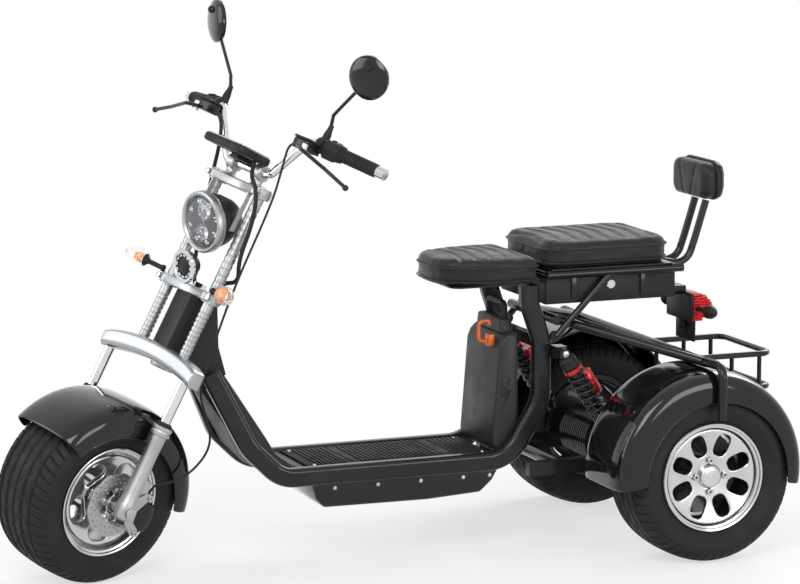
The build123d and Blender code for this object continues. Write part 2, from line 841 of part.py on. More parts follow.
# Storage box hung under the seat rails
box_wall = 3.0
box_top = frame_z - frame_radius - gap
box_length = 376.0
box_width = 292.0
with BuildPart() as storage_box:
    with BuildSketch(Plane.XY.offset(box_floor)):
        with Locations((station(1406), 0)):
            Rectangle(box_length, box_width)
    extrude(amount=box_top - box_floor)
    with BuildSketch(Plane.XY.offset(box_top)):
        with Locations((station(1406), 0)):
            Rectangle(box_length, 2 * frame_y + 6)
    extrude(amount=-box_wall)
    with BuildSketch(Plane.XY.offset(box_floor + box_wall)):
        with Locations((station(1406), 0)):
            Rectangle(box_length - 2 * box_wall, box_width - 2 * box_wall)
    extrude(amount=box_top - box_floor, mode=Mode.SUBTRACT)
    with Locations((station(1390), frame_y, box_top), (station(1390), -frame_y, box_top)):
        Box(52, 24, 20, mode=Mode.SUBTRACT)
storage_box.part.label = "storage_box"
export_step(storage_box.part, "parts/storage_box.step")

# Backrest shell and pad
with BuildPart() as backrest_shell:
    with BuildSketch(Plane.YZ.offset(station(1736))):
        with Locations((0, 950)):
            RectangleRounded(214, 104, 30)
    extrude(amount=-34, taper=14)
    with BuildSketch(Plane.XY.offset(post_top[1] + 3.2 + gap)):
        with Locations((station(1746), 0)):
            Rectangle(20, 90)
    extrude(amount=30)
backrest_shell.part.label = "backrest_shell"
export_step(backrest_shell.part, "parts/backrest_shell.step")

with BuildPart() as backrest_pad:
    with BuildSketch(Plane.YZ.offset(station(1736) + gap)):
        with Locations((0, 950)):
            RectangleRounded(208, 98, 30)
    extrude(amount=34)
backrest_pad.part.label = "backrest_pad"
export_step(backrest_pad.part, "parts/backrest_pad.step")

# Tubes from the rails to the fenders, and the bow that bends down outside each
fender_tube = 13.0
fender_top = rear_axle_z + 14 + fender_radius + fender_tube + gap
bow_x = rail_back - fender_tube - gap
cross_x = station(1558)
outer_y = fender_y_out + fender_tube + 5
with BuildPart() as fender_tubes:
    add(rod(((bow_x, 100, 612), (cross_x, 396, fender_top)), None, fender_tube - 1))
    add(
        rod(
            (
                (cross_x, 386, fender_top),
                (cross_x, outer_y, fender_top + 5),
                (cross_x, outer_y, 388),
            ),
            (30,),
            fender_tube - 1,
        )
    )
    mirror(about=Plane.XZ)
    with BuildSketch(Plane.XZ.offset(-150)):
        with Locations((bow_x, 612)):
            Circle(fender_tube)
    extrude(amount=300)
    with BuildSketch(Plane.XZ.offset(-404)):
        with Locations((cross_x, fender_top)):
            Circle(fender_tube)
    extrude(amount=808)
fender_tubes.part.label = "fender_tubes"
export_step(fender_tubes.part, "parts/fender_tubes.step")

# Rear fenders: an arched shell with its outer skirt open round the rim
fender_centre = (rear_axle_x + 16, rear_axle_z + 14)
for side_name, side_y in sides:
    with BuildPart() as fender:
        with BuildSketch(Plane.XZ.offset(-side_y * fender_y_out)):
            with Locations(fender_centre):
                Circle(fender_radius)
            with Locations((rear_axle_x, rear_axle_z)):
                Circle(198, mode=Mode.SUBTRACT)
            with Locations((rear_axle_x, rear_axle_z - 300)):
                Rectangle(800, 620, mode=Mode.SUBTRACT)
        extrude(amount=side_y * fender_wall)
        with BuildSketch(Plane.XZ.offset(-side_y * fender_y_out)):
            with Locations(fender_centre):
                Circle(fender_radius)
                Circle(fender_radius - fender_wall, mode=Mode.SUBTRACT)
            with Locations((rear_axle_x, rear_axle_z - 300)):
                Rectangle(800, 620, mode=Mode.SUBTRACT)
        extrude(amount=side_y * (fender_y_out - fender_y_in))
    fender.part.label = f"rear_fender_{side_name}"
    export_step(fender.part, f"parts/rear_fender_{side_name}.step")

# Swingarm: two box beams from the pivots to the axle tube
pivot = (station(1160), 225)
with BuildPart() as swingarm:
    for side_name, side_y in sides:
        with BuildSketch(Plane.XZ.offset(-side_y * 180)):
            with BuildLine():
                Polyline(
                    (pivot[0], pivot[1] - 18),
                    (pivot[0], pivot[1] + 18),
                    (rear_axle_x, rear_axle_z + 22),
                    (rear_axle_x, rear_axle_z - 22),
                    close=True,
                )
            make_face()
        extrude(amount=side_y * 26)
        with BuildSketch(Plane.XZ.offset(-side_y * 170)):
            with BuildLine():
                Polyline(
                    (shock_low.X + 30, 226),
                    (shock_low.X + 14, shock_low.Z + 14),
                    (shock_low.X - 14, shock_low.Z + 14),
                    (shock_low.X - 30, 226),
                    close=True,
                )
            make_face()
        extrude(amount=-side_y * (shock_y - 10 - gap - 170))
    with BuildSketch(Plane.XZ.offset(-rear_track / 2 + 30)):
        with Locations((rear_axle_x, rear_axle_z)):
            Circle(30)
    extrude(amount=rear_track - 60)
    with BuildSketch(Plane.XZ.offset(-rear_track / 2 - 46)):
        with Locations((rear_axle_x, rear_axle_z)):
            Circle(rear_hub_bore)
    extrude(amount=rear_track + 92)
    with BuildSketch(Plane.XZ.offset(-170)):
        with Locations((station(1262), pivot[1])):
            Circle(17)
    extrude(amount=340)
swingarm.part.label = "swingarm"
export_step(swingarm.part, "parts/swingarm.step")

# Drive motor ahead of the axle, finned
motor_x = station(1430)
motor_z = 268.0
with BuildPart() as drive_motor:
    with BuildSketch(Plane.XZ.offset(-110)):
        with Locations((motor_x, motor_z)):
            Circle(66)
    extrude(amount=190)
    with GridLocations(0, 20, 1, 9):
        with Locations((motor_x, 15, motor_z)):
            Cylinder(74, 6, rotation=(90, 0, 0))
    with BuildSketch(Plane.XZ.offset(-36)):
        with Locations((rear_axle_x, rear_axle_z)):
            Circle(58)
        with BuildLine():
            Polyline(
                (motor_x, motor_z + 56),
                (rear_axle_x, rear_axle_z + 56),
                (rear_axle_x, rear_axle_z - 56),
                (motor_x, motor_z - 56),
                close=True,
            )
        make_face()
        with Locations((rear_axle_x, rear_axle_z)):
            Circle(30 + gap, mode=Mode.SUBTRACT)
    extrude(amount=72)
drive_motor.part.label = "drive_motor"
export_step(drive_motor.part, "parts/drive_motor.step")

# Shock absorbers with their coil springs as ribbed sleeves and side reservoirs
with BuildPart() as shock_absorbers:
    for side_name, side_y in sides:
        base = Plane(
            origin=(shock_top.X, side_y * shock_top.Y, shock_top.Z),
            x_dir=(0, 1, 0),
            z_dir=shock_way,
        )
        with BuildSketch(base):
            Circle(9)
        extrude(amount=(shock_low - shock_top).length)
        for eye in (shock_top, shock_low):
            with BuildSketch(Plane.XZ.offset(-side_y * shock_y)):
                with Locations((eye.X, eye.Z)):
                    Circle(14)
            extrude(amount=10, both=True)
        with BuildSketch(base.offset(24)):
            Circle(21)
        extrude(amount=14)
        for turn_number in range(9):
            with BuildSketch(base.offset(44 + 17 * turn_number)):
                Circle(24)
            extrude(amount=7)
        with BuildSketch(base.offset(204)):
            Circle(22)
        extrude(amount=16)
shock_absorbers.part.label = "shock_absorbers"
export_step(shock_absorbers.part, "parts/shock_absorbers.step")

# Luggage rack behind the seat between the fenders
rack_radius = 8.0
rack_front = station(1650)
rack_back = station(1884)
rack_y = 145.0
arm_way = Vector(rack_front - cross_x, 0, 483 - fender_top).normalized()
arm_start = Vector(cross_x, 100, fender_top) + arm_way * (fender_tube + gap)
with BuildPart() as luggage_rack:
    for height in (483, 392):
        loop_points = (
            (rack_front, 0, height),
            (rack_front, rack_y, height),
            (rack_back, rack_y, height),
            (rack_back, 0, height),
        )
        add(rod(loop_points, (30, 30), rack_radius))
    for post_x in (rack_front - 34, (rack_front + rack_back) / 2, rack_back + 34):
        with Locations((post_x, rack_y, 392)):
            Cylinder(6, 91, align=(Align.CENTER, Align.CENTER, Align.MIN))
    add(rod((arm_start, Vector(rack_front, 100, 483)), None, rack_radius - 1))
    mirror(about=Plane.XZ)
luggage_rack.part.label = "luggage_rack"
export_step(luggage_rack.part, "parts/luggage_rack.step")

# Tail lamp, its bracket and the rear turn signals
lamp_arm_front = station(1406) - box_length / 2 - gap
lamp_arm_rear = station(1681.7)
with BuildPart() as tail_lamp:
    with BuildSketch(Plane.YZ.offset(station(1676))):
        with Locations((0, 606)):
            RectangleRounded(150, 80, 12)
    extrude(amount=-74)
    with Locations(((lamp_arm_front + lamp_arm_rear) / 2, 0, 652)):
        Box(lamp_arm_front - lamp_arm_rear, 80, 24)
    with Locations((station(1700), 0, 540)):
        Box(6, 110, 60)
    for side_name, side_y in sides:
        with BuildSketch(Plane.XZ.offset(-side_y * 74)):
            with Locations((station(1704), 606)):
                Circle(7)
        extrude(amount=-side_y * 40)
        with BuildSketch(Plane.XZ.offset(-side_y * 110)):
            with Locations((station(1700), 606)):
                Ellipse(20, 15)
        with BuildSketch(Plane.XZ.offset(-side_y * 160)):
            with Locations((station(1714), 604)):
                Ellipse(8, 7)
        loft()
tail_lamp.part.label = "tail_lamp"
export_step(tail_lamp.part, "parts/tail_lamp.step")

print("steer origin", steer_origin, "axis", steer_axis)
print("front axle", wheel_place.position, "turned axle direction", steer_plane.y_dir)
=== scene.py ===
import json
from math import atan2, cos, exp, pi, radians, sin, sqrt

import bmesh
import bpy
from mathutils import Matrix, Vector

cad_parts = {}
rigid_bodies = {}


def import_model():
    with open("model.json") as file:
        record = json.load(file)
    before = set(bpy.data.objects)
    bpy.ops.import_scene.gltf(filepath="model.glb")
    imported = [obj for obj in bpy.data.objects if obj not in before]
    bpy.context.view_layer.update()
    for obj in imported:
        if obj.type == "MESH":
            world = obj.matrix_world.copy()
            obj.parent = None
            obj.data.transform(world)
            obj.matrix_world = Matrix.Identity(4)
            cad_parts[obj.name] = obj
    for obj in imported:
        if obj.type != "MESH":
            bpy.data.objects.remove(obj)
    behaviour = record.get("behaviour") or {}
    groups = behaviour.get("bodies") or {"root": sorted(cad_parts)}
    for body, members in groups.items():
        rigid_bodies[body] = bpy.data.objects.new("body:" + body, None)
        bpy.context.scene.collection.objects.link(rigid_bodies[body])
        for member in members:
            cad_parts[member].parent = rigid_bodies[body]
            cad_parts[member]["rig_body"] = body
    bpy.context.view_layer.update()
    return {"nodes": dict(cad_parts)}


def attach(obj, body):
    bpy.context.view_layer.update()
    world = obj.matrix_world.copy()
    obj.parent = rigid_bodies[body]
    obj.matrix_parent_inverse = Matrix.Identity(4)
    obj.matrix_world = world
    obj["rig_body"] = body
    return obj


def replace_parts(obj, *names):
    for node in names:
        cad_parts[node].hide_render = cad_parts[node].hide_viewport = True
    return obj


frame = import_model()

bl_info = {
    "name": "Fat-tyre scooter dressing",
    "version": (1, 0, 0),
    "blender": (4, 5, 0),
    "location": "View3D > Sidebar > Scooter",
    "description": "Dresses the packed three-wheeled scooter with its tyres, castings, seats and trim",
    "category": "Object",
}

MM = 0.001
CHASSIS = "chassis"
STEERING = "steering"
FRONT_WHEEL = "front_wheel"
LID = "passenger_lid"
SIDES = ((1, "left"), (-1, "right"))

# Places taken from the part: the front axle's station, the wheels and the steering frame
FRONT_AXLE_X = 830.0
REAR_AXLE = Vector((-730.0, 371.0, 227.0))
TYRE_RADIUS = 227.0
FENDER_RADIUS = 268.0
STEER_ORIGIN = Vector((785.569, 0.0, 210.606))
STEER_UP = Vector((-0.45865, 0.0, 0.888617))
STEER_SIDE = Vector((-0.319899, 0.932954, -0.165112)).normalized()
STEER_OUT = STEER_SIDE.cross(STEER_UP).normalized()
AXLE_LEAD = 50.0

# Sizes of the fork, the tyres and the fenders that several pieces share, in millimetres
LEG_Y = 158
TUBE_X = 24
TUBE_Y = 87
RISER_Y = 54
BAR_Z = 918
CLAMP_HEIGHTS = (574, 870)
FRONT_TYRE_WIDTH = 210.0
REAR_TYRE_WIDTH = 200.0
TYRE_SHOULDER = 40.0
TYRE_CROWN = 700.0
FENDER_WALL = 4.0


def placed(x_axis, y_axis, z_axis, origin):
    """A matrix from millimetres along three axes to metres in the row frame."""
    turn = Matrix((x_axis, y_axis, z_axis)).transposed().to_4x4()
    return Matrix.Scale(MM, 4) @ Matrix.Translation(origin) @ turn


BODY_SPACE = placed(Vector((1, 0, 0)), Vector((0, 1, 0)), Vector((0, 0, 1)), Vector((0, 0, 0)))
FORK_SPACE = placed(STEER_OUT, STEER_SIDE, STEER_UP, STEER_ORIGIN)
FRONT_HUB = FORK_SPACE @ Matrix.Translation((AXLE_LEAD, 0, 0))


def rear_hub(side):
    """The space of a rear wheel, its Y axis pointing outwards on either side."""
    turn = Matrix.Rotation(0 if side > 0 else pi, 4, "Z")
    return BODY_SPACE @ Matrix.Translation((REAR_AXLE.x, side * REAR_AXLE.y, REAR_AXLE.z)) @ turn


def behind(distance):
    """X of a place this far behind the front axle, in millimetres."""
    return FRONT_AXLE_X - distance


def moved(space, x, y=0, z=0):
    """A space moved along its own axes."""
    return space @ Matrix.Translation((x, y, z))


def upright(space, x, y, z=0):
    """A space whose Y axis runs up from a place of another space, for what is turned about it."""
    return moved(space, x, y, z) @ Matrix.Rotation(radians(90), 4, "X")


def pointing(space, start, tip):
    """A space whose Y axis runs from one place to another, with Z as near to up as it can be."""
    way = (Vector(tip) - Vector(start)).normalized()
    across = way.cross(Vector((0, 0, 1))).normalized()
    turn = Matrix((across, way, across.cross(way))).transposed().to_4x4()
    return space @ Matrix.Translation(start) @ turn


def facing(x, z):
    """A space whose Y axis looks along the road from a place on the fork's middle plane."""
    way, side = Vector((0.889, 0, -0.459)).normalized(), Vector((0, 1, 0))
    turn = Matrix((way.cross(side), way, side)).transposed().to_4x4()
    return FORK_SPACE @ Matrix.Translation((x, 0, z)) @ turn


# Meshes


def shown(name, data):
    """A new object of the scene."""
    item = bpy.data.objects.new(name, data)
    bpy.context.scene.collection.objects.link(item)
    return item


def mesh_piece(name, points, faces, space, material, body, smooth=True):
    """An object at the origin whose mesh holds these points, placed by a space's matrix."""
    mesh = bpy.data.meshes.new(name)
    mesh.from_pydata([space @ Vector(p) for p in points], [], faces)
    mesh.validate()
    item = shown(name, mesh)
    face_outwards(mesh)
    return dressed(item, material, body, smooth)


def dressed(item, material, body, smooth=True):
    """Gives a piece its material and shading, and lets it ride on its body."""
    item.data.materials.clear()
    item.data.materials.append(material)
    item.data.polygons.foreach_set("use_smooth", [smooth] * len(item.data.polygons))
    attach(item, body)
    return item


def face_outwards(mesh):
    """Merges doubles and turns every face outwards."""
    work = bmesh.new()
    work.from_mesh(mesh)
    bmesh.ops.remove_doubles(work, verts=work.verts, dist=1e-6)
    bmesh.ops.recalc_face_normals(work, faces=work.faces)
    work.to_mesh(mesh)
    work.free()


def ring_faces(rings, count):
    """The faces of a skin through rings of this many points each."""
    faces = []
    for level in range(rings - 1):
        for n in range(count):
            a, b = level * count + n, level * count + (n + 1) % count
            faces.append((a, b, b + count, a + count))
    return faces


def applied(item):
    """Turns a piece's modifiers into its mesh."""
    bpy.context.view_layer.update()
    shape = item.evaluated_get(bpy.context.evaluated_depsgraph_get())
    mesh = bpy.data.meshes.new_from_object(shape)
    item.modifiers.clear()
    item.data = mesh
    return item


def softened(item, width, segments=3, angle=35):
    """Rounds a piece's sharp edges and shades it smooth."""
    edge = item.modifiers.new("edge", "BEVEL")
    edge.width = width * MM
    edge.segments = segments
    edge.limit_method = "ANGLE"
    edge.angle_limit = radians(angle)
    edge.harden_normals = False
    applied(item)
    item.data.polygons.foreach_set("use_smooth", [True] * len(item.data.polygons))
    item.data.set_sharp_from_angle(angle=radians(40))
    return item


def subdivided(item, levels=2):
    """Smooths a piece with a subdivision surface."""
    surface = item.modifiers.new("surface", "SUBSURF")
    surface.levels = levels
    surface.render_levels = levels
    applied(item)
    item.data.polygons.foreach_set("use_smooth", [True] * len(item.data.polygons))
    return item


def lathe(name, profile, space, material, body, segments=96, closed=False):
    """Revolves (along Y, radius) places about a space's Y axis."""
    points, faces = [], []
    count = len(profile)
    for turn in range(segments):
        angle = 2 * pi * turn / segments
        points += [(r * cos(angle), y, r * sin(angle)) for y, r in profile]
    last = count if closed else count - 1
    for turn in range(segments):
        here, there = turn * count, (turn + 1) % segments * count
        for place in range(last):
            after = (place + 1) % count
            faces.append((here + place, here + after, there + after, there + place))
    item = mesh_piece(name, points, faces, space, material, body)
    item.data.set_sharp_from_angle(angle=radians(38))
    return item


def rounded_route(route, radius, steps=8):
    """A route's corners turned into arcs of about this radius."""
    route = [Vector(p) for p in route]
    out = [route[0]]
    for before, corner, after in zip(route, route[1:], route[2:]):
        into, away = (before - corner).normalized(), (after - corner).normalized()
        half = into.angle(away) / 2
        cut = min(radius / max(0.05, sin(half)) * cos(half), 0.45 * (before - corner).length)
        cut = min(cut, 0.45 * (after - corner).length)
        first, last = corner + into * cut, corner + away * cut
        for step in range(steps + 1):
            t = step / steps
            out.append(first * (1 - t) ** 2 + corner * 2 * t * (1 - t) + last * t * t)
    out.append(route[-1])
    return out


def swept(name, route, section, space, material, body, corner=0.0, closed_ends=True, up=None):
    """Sweeps a closed section of (side, up) places along a route."""
    path = rounded_route(route, corner) if corner else [Vector(p) for p in route]
    points = []
    count = len(section)
    normal = None
    for place, here in enumerate(path):
        before = path[max(place - 1, 0)]
        after = path[min(place + 1, len(path) - 1)]
        way = (after - before).normalized()
        if normal is None:
            normal = Vector(up) if up else way.orthogonal()
        normal = (normal - way * normal.dot(way)).normalized()
        side = way.cross(normal)
        points += [here + side * a + normal * b for a, b in section]
    faces = ring_faces(len(path), count)
    if closed_ends:
        faces.append(tuple(range(count)))
        faces.append(tuple(range((len(path) - 1) * count, len(path) * count)))
    item = mesh_piece(name, points, faces, space, material, body)
    item.data.set_sharp_from_angle(angle=radians(38))
    return item


def ring(radius, sides=20):
    """A round section."""
    return [(radius * cos(2 * pi * n / sides), radius * sin(2 * pi * n / sides)) for n in range(sides)]


def rounded_box(width, height, radius, steps=5):
    """A rectangle's outline with round corners, about its centre."""
    out = []
    for x, y, start in ((1, 1, 0), (-1, 1, 90), (-1, -1, 180), (1, -1, 270)):
        for step in range(steps + 1):
            angle = radians(start + 90 * step / steps)
            out.append((
                x * (width / 2 - radius) + radius * cos(angle),
                y * (height / 2 - radius) + radius * sin(angle),
            ))
    return out


def plate(name, outlines, thick, space, material, body, edge=1.0):
    """A flat plate in a space's XZ plane, its thickness along Y, with outlines for its rim and holes."""
    curve = bpy.data.curves.new(name, "CURVE")
    curve.dimensions = "2D"
    curve.fill_mode = "BOTH"
    curve.extrude = thick / 2 - edge
    curve.bevel_depth = edge
    curve.bevel_resolution = 2
    for outline in outlines:
        spline = curve.splines.new("POLY")
        spline.points.add(len(outline) - 1)
        for point, (x, z) in zip(spline.points, outline):
            point.co = (x, z, 0, 1)
        spline.use_cyclic_u = True
    flat = shown(name + "_flat", curve)
    bpy.context.view_layer.update()
    mesh = bpy.data.meshes.new_from_object(flat.evaluated_get(bpy.context.evaluated_depsgraph_get()))
    bpy.data.objects.remove(flat)
    mesh.transform(space @ Matrix.Rotation(radians(90), 4, "X"))
    mesh.name = name
    face_outwards(mesh)
    item = shown(name, mesh)
    dressed(item, material, body)
    item.data.set_sharp_from_angle(angle=radians(38))
    return item


def circle_outline(x, z, radius, sides=32):
    """A round outline for a plate."""
    return [(x + radius * cos(2 * pi * n / sides), z + radius * sin(2 * pi * n / sides)) for n in range(sides)]


def block(name, low, high, space, material, body, edge=3.0, taper=1.0):
    """A box with rounded edges, its top drawn in by a taper."""
    points = []
    for z, grow in ((low[2], 1.0), (high[2], taper)):
        for x, y in ((0, 0), (1, 0), (1, 1), (0, 1)):
            middle = ((low[0] + high[0]) / 2, (low[1] + high[1]) / 2)
            reach = ((high[0] - low[0]) / 2 * grow, (high[1] - low[1]) / 2 * grow)
            points.append((middle[0] + (2 * x - 1) * reach[0], middle[1] + (2 * y - 1) * reach[1], z))
    faces = [(0, 3, 2, 1), (4, 5, 6, 7), (0, 1, 5, 4), (1, 2, 6, 5), (2, 3, 7, 6), (3, 0, 4, 7)]
    item = mesh_piece(name, points, faces, space, material, body)
    return softened(item, edge)


def prism(name, outline, low, high, space, material, body, edge=3.0):
    """An outline in a space's XZ plane drawn out along Y, with rounded edges."""
    count = len(outline)
    points = [(x, low, z) for x, z in outline] + [(x, high, z) for x, z in outline]
    faces = [tuple(range(count)), tuple(range(2 * count - 1, count - 1, -1))]
    faces += [(n, (n + 1) % count, (n + 1) % count + count, n + count) for n in range(count)]
    item = mesh_piece(name, points, faces, space, material, body)
    return softened(item, edge)


def joined(name, *items):
    """Several pieces of one body as one piece, each part keeping its material."""
    body = items[0]["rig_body"]
    mesh = bpy.data.meshes.new(name)
    work = bmesh.new()
    slots = []
    for item in items:
        start = len(work.faces)
        work.from_mesh(item.data)
        work.faces.ensure_lookup_table()
        for face in work.faces[start:]:
            finish = item.data.materials[min(face.material_index, len(item.data.materials) - 1)]
            if finish not in slots:
                slots.append(finish)
            face.material_index = slots.index(finish)
    work.to_mesh(mesh)
    work.free()
    for item in items:
        bpy.data.objects.remove(item)
    whole = shown(name, mesh)
    for finish in slots:
        mesh.materials.append(finish)
    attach(whole, body)
    return whole


# Geometry node trees


def group_input(tree, label, kind, default=None):
    """A named input of a tree, with its default."""
    made = tree.interface.new_socket(name=label, in_out="INPUT", socket_type=kind)
    if default is not None:
        made.default_value = default
    return made.identifier


def repeat_tree():
    """A tree that sets copies of a mesh, each turned and moved one step more than the last."""
    tree = bpy.data.node_groups.new("repeated_piece", "GeometryNodeTree")
    group_input(tree, "Geometry", "NodeSocketGeometry")
    group_input(tree, "Count", "NodeSocketInt", 8)
    group_input(tree, "Turn", "NodeSocketVector", (0.0, 0.0, 0.0))
    group_input(tree, "Shift", "NodeSocketVector", (0.0, 0.0, 0.0))
    group_input(tree, "Material", "NodeSocketMaterial")
    tree.interface.new_socket(name="Geometry", in_out="OUTPUT", socket_type="NodeSocketGeometry")
    node, link = tree.nodes.new, tree.links.new
    given, done = node("NodeGroupInput"), node("NodeGroupOutput")
    line = node("GeometryNodeMeshLine")
    link(given.outputs["Count"], line.inputs["Count"])
    line.inputs["Offset"].default_value = (0, 0, 0)
    copies = node("GeometryNodeInstanceOnPoints")
    link(line.outputs["Mesh"], copies.inputs["Points"])
    link(given.outputs["Geometry"], copies.inputs["Instance"])
    number = node("GeometryNodeInputIndex")
    steps = []
    for label in ("Turn", "Shift"):
        scale = node("ShaderNodeVectorMath")
        scale.operation = "SCALE"
        link(given.outputs[label], scale.inputs[0])
        link(number.outputs["Index"], scale.inputs["Scale"])
        steps.append(scale)
    turned = node("GeometryNodeRotateInstances")
    turned.inputs["Local Space"].default_value = False
    link(copies.outputs["Instances"], turned.inputs["Instances"])
    link(steps[0].outputs["Vector"], turned.inputs["Rotation"])
    moved = node("GeometryNodeTranslateInstances")
    moved.inputs["Local Space"].default_value = False
    link(turned.outputs["Instances"], moved.inputs["Instances"])
    link(steps[1].outputs["Vector"], moved.inputs["Translation"])
    solid, coat = node("GeometryNodeRealizeInstances"), node("GeometryNodeSetMaterial")
    link(moved.outputs["Instances"], solid.inputs["Geometry"])
    link(solid.outputs["Geometry"], coat.inputs["Geometry"])
    link(given.outputs["Material"], coat.inputs["Material"])
    link(coat.outputs["Geometry"], done.inputs["Geometry"])
    return tree


def coil_tree():
    """A tree that winds a round wire into a spring along Z."""
    tree = bpy.data.node_groups.new("coil_spring", "GeometryNodeTree")
    group_input(tree, "Geometry", "NodeSocketGeometry")
    group_input(tree, "Turns", "NodeSocketFloat", 8.0)
    group_input(tree, "Radius", "NodeSocketFloat", 0.02)
    group_input(tree, "Height", "NodeSocketFloat", 0.15)
    group_input(tree, "Wire", "NodeSocketFloat", 0.004)
    group_input(tree, "Material", "NodeSocketMaterial")
    tree.interface.new_socket(name="Geometry", in_out="OUTPUT", socket_type="NodeSocketGeometry")
    node, link = tree.nodes.new, tree.links.new
    given, done = node("NodeGroupInput"), node("NodeGroupOutput")
    spiral, wire = node("GeometryNodeCurveSpiral"), node("GeometryNodeCurvePrimitiveCircle")
    spiral.inputs["Resolution"].default_value = 28
    link(given.outputs["Turns"], spiral.inputs["Rotations"])
    link(given.outputs["Radius"], spiral.inputs["Start Radius"])
    link(given.outputs["Radius"], spiral.inputs["End Radius"])
    link(given.outputs["Height"], spiral.inputs["Height"])
    wire.inputs["Resolution"].default_value = 12
    link(given.outputs["Wire"], wire.inputs["Radius"])
    mesh = node("GeometryNodeCurveToMesh")
    mesh.inputs["Fill Caps"].default_value = True
    link(spiral.outputs["Curve"], mesh.inputs["Curve"])
    link(wire.outputs["Curve"], mesh.inputs["Profile Curve"])
    smooth, solid = node("GeometryNodeSetShadeSmooth"), node("GeometryNodeRealizeInstances")
    coat = node("GeometryNodeSetMaterial")
    link(mesh.outputs["Mesh"], smooth.inputs["Geometry"])
    link(smooth.outputs["Geometry"], solid.inputs["Geometry"])
    link(solid.outputs["Geometry"], coat.inputs["Geometry"])
    link(given.outputs["Material"], coat.inputs["Material"])
    link(coat.outputs["Geometry"], done.inputs["Geometry"])
    return tree


def run_tree(name, tree, seed, inputs, space, body, material):
    """Runs a tree on a seed mesh in millimetres and places the plain mesh that it gives."""
    start = shown(name + "_seed", seed)
    nodes = start.modifiers.new("tree", "NODES")
    nodes.node_group = tree
    ids = {socket.name: socket.identifier for socket in tree.interface.items_tree if socket.in_out == "INPUT"}
    for label, value in inputs.items():
        nodes[ids[label]] = value
    nodes[ids["Material"]] = material
    bpy.context.view_layer.update()
    mesh = bpy.data.meshes.new_from_object(start.evaluated_get(bpy.context.evaluated_depsgraph_get()))
    bpy.data.objects.remove(start)
    mesh.name = name
    mesh.transform(space)
    item = shown(name, mesh)
    if not len(mesh.materials):
        mesh.materials.append(material)
    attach(item, body)
    return item


def repeated(name, item, count, turn, shift, space, material):
    """Copies of a piece made in millimetres, as one mesh on the piece's body."""
    body = item["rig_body"]
    seed = item.data
    bpy.data.objects.remove(item)
    return run_tree(
        name, TREES["repeat"], seed, {"Count": count, "Turn": turn, "Shift": shift}, space, body, material
    )


FLAT = Matrix.Identity(4)
TREES = {}

# Materials


def blank_material(name):
    """A material with its Principled shader, texture coordinates and a Mapping node."""
    made = bpy.data.materials.new(name)
    made.use_nodes = True
    nodes = made.node_tree.nodes
    place = nodes.new("ShaderNodeTexCoord")
    mapping = nodes.new("ShaderNodeMapping")
    made.node_tree.links.new(place.outputs["Object"], mapping.inputs["Vector"])
    return made, nodes["Principled BSDF"], mapping


def finish(name, colour, metallic, roughness, grain=400.0, bump=0.08, wear=0.12, stretch=None, coat=0.0, sheen=0.0):
    """A surface with grain, a slow change of colour and roughness, and an optional clear coat."""
    made, shader, mapping = blank_material(name)
    nodes, link = made.node_tree.nodes, made.node_tree.links.new
    if stretch:
        mapping.inputs["Scale"].default_value = stretch
    shader.inputs["Metallic"].default_value = metallic
    shader.inputs["Coat Weight"].default_value = coat
    shader.inputs["Coat Roughness"].default_value = 0.06
    shader.inputs["Coat IOR"].default_value = 1.3
    shader.inputs["Specular IOR Level"].default_value = 0.5 if metallic > 0.5 else 0.2
    shader.inputs["Sheen Weight"].default_value = sheen
    fine, slow = nodes.new("ShaderNodeTexNoise"), nodes.new("ShaderNodeTexNoise")
    fine.inputs["Scale"].default_value = grain
    fine.inputs["Detail"].default_value = 4
    slow.inputs["Scale"].default_value = 14
    slow.inputs["Detail"].default_value = 3
    link(mapping.outputs["Vector"], fine.inputs["Vector"])
    link(mapping.outputs["Vector"], slow.inputs["Vector"])
    spread = nodes.new("ShaderNodeMapRange")
    spread.inputs["From Min"].default_value = 0.3
    spread.inputs["From Max"].default_value = 0.7
    spread.inputs["To Min"].default_value = max(0.02, roughness * (1 - 1.6 * wear))
    spread.inputs["To Max"].default_value = min(1.0, roughness * (1 + 2.2 * wear) + 0.01)
    link(slow.outputs["Fac"], spread.inputs["Value"])
    link(spread.outputs["Result"], shader.inputs["Roughness"])
    tone = nodes.new("ShaderNodeMix")
    tone.data_type = "RGBA"
    tone.inputs["A"].default_value = (*[c * (1 - wear) for c in colour], 1)
    tone.inputs["B"].default_value = (*[min(1.0, c * (1 + wear) + 0.004) for c in colour], 1)
    link(slow.outputs["Fac"], tone.inputs["Factor"])
    link(tone.outputs["Result"], shader.inputs["Base Color"])
    relief = nodes.new("ShaderNodeBump")
    relief.inputs["Strength"].default_value = bump
    relief.inputs["Distance"].default_value = 0.0006
    link(fine.outputs["Fac"], relief.inputs["Height"])
    link(relief.outputs["Normal"], shader.inputs["Normal"])
    return made


def grained(made, scale, strength, depth=0.0005):
    """Adds the pebbles of leather or moulded rubber to a finish."""
    nodes, link = made.node_tree.nodes, made.node_tree.links.new
    shader = nodes["Principled BSDF"]
    cells = nodes.new("ShaderNodeTexVoronoi")
    cells.feature = "SMOOTH_F1"
    cells.inputs["Scale"].default_value = scale
    link(nodes["Mapping"].outputs["Vector"], cells.inputs["Vector"])
    relief = nodes.new("ShaderNodeBump")
    relief.invert = True
    relief.inputs["Strength"].default_value = strength
    relief.inputs["Distance"].default_value = depth
    link(cells.outputs["Distance"], relief.inputs["Height"])
    link(nodes["Bump"].outputs["Normal"], relief.inputs["Normal"])
    link(relief.outputs["Normal"], shader.inputs["Normal"])
    return made


def clear_glass(name, colour, roughness=0.02, weight=0.9):
    """A clear cover with a slight tint and moulded waves."""
    made = finish(name, colour, 0.0, roughness, grain=60, bump=0.02, wear=0.05)
    shader = made.node_tree.nodes["Principled BSDF"]
    shader.inputs["Transmission Weight"].default_value = weight
    shader.inputs["IOR"].default_value = 1.45
    return made


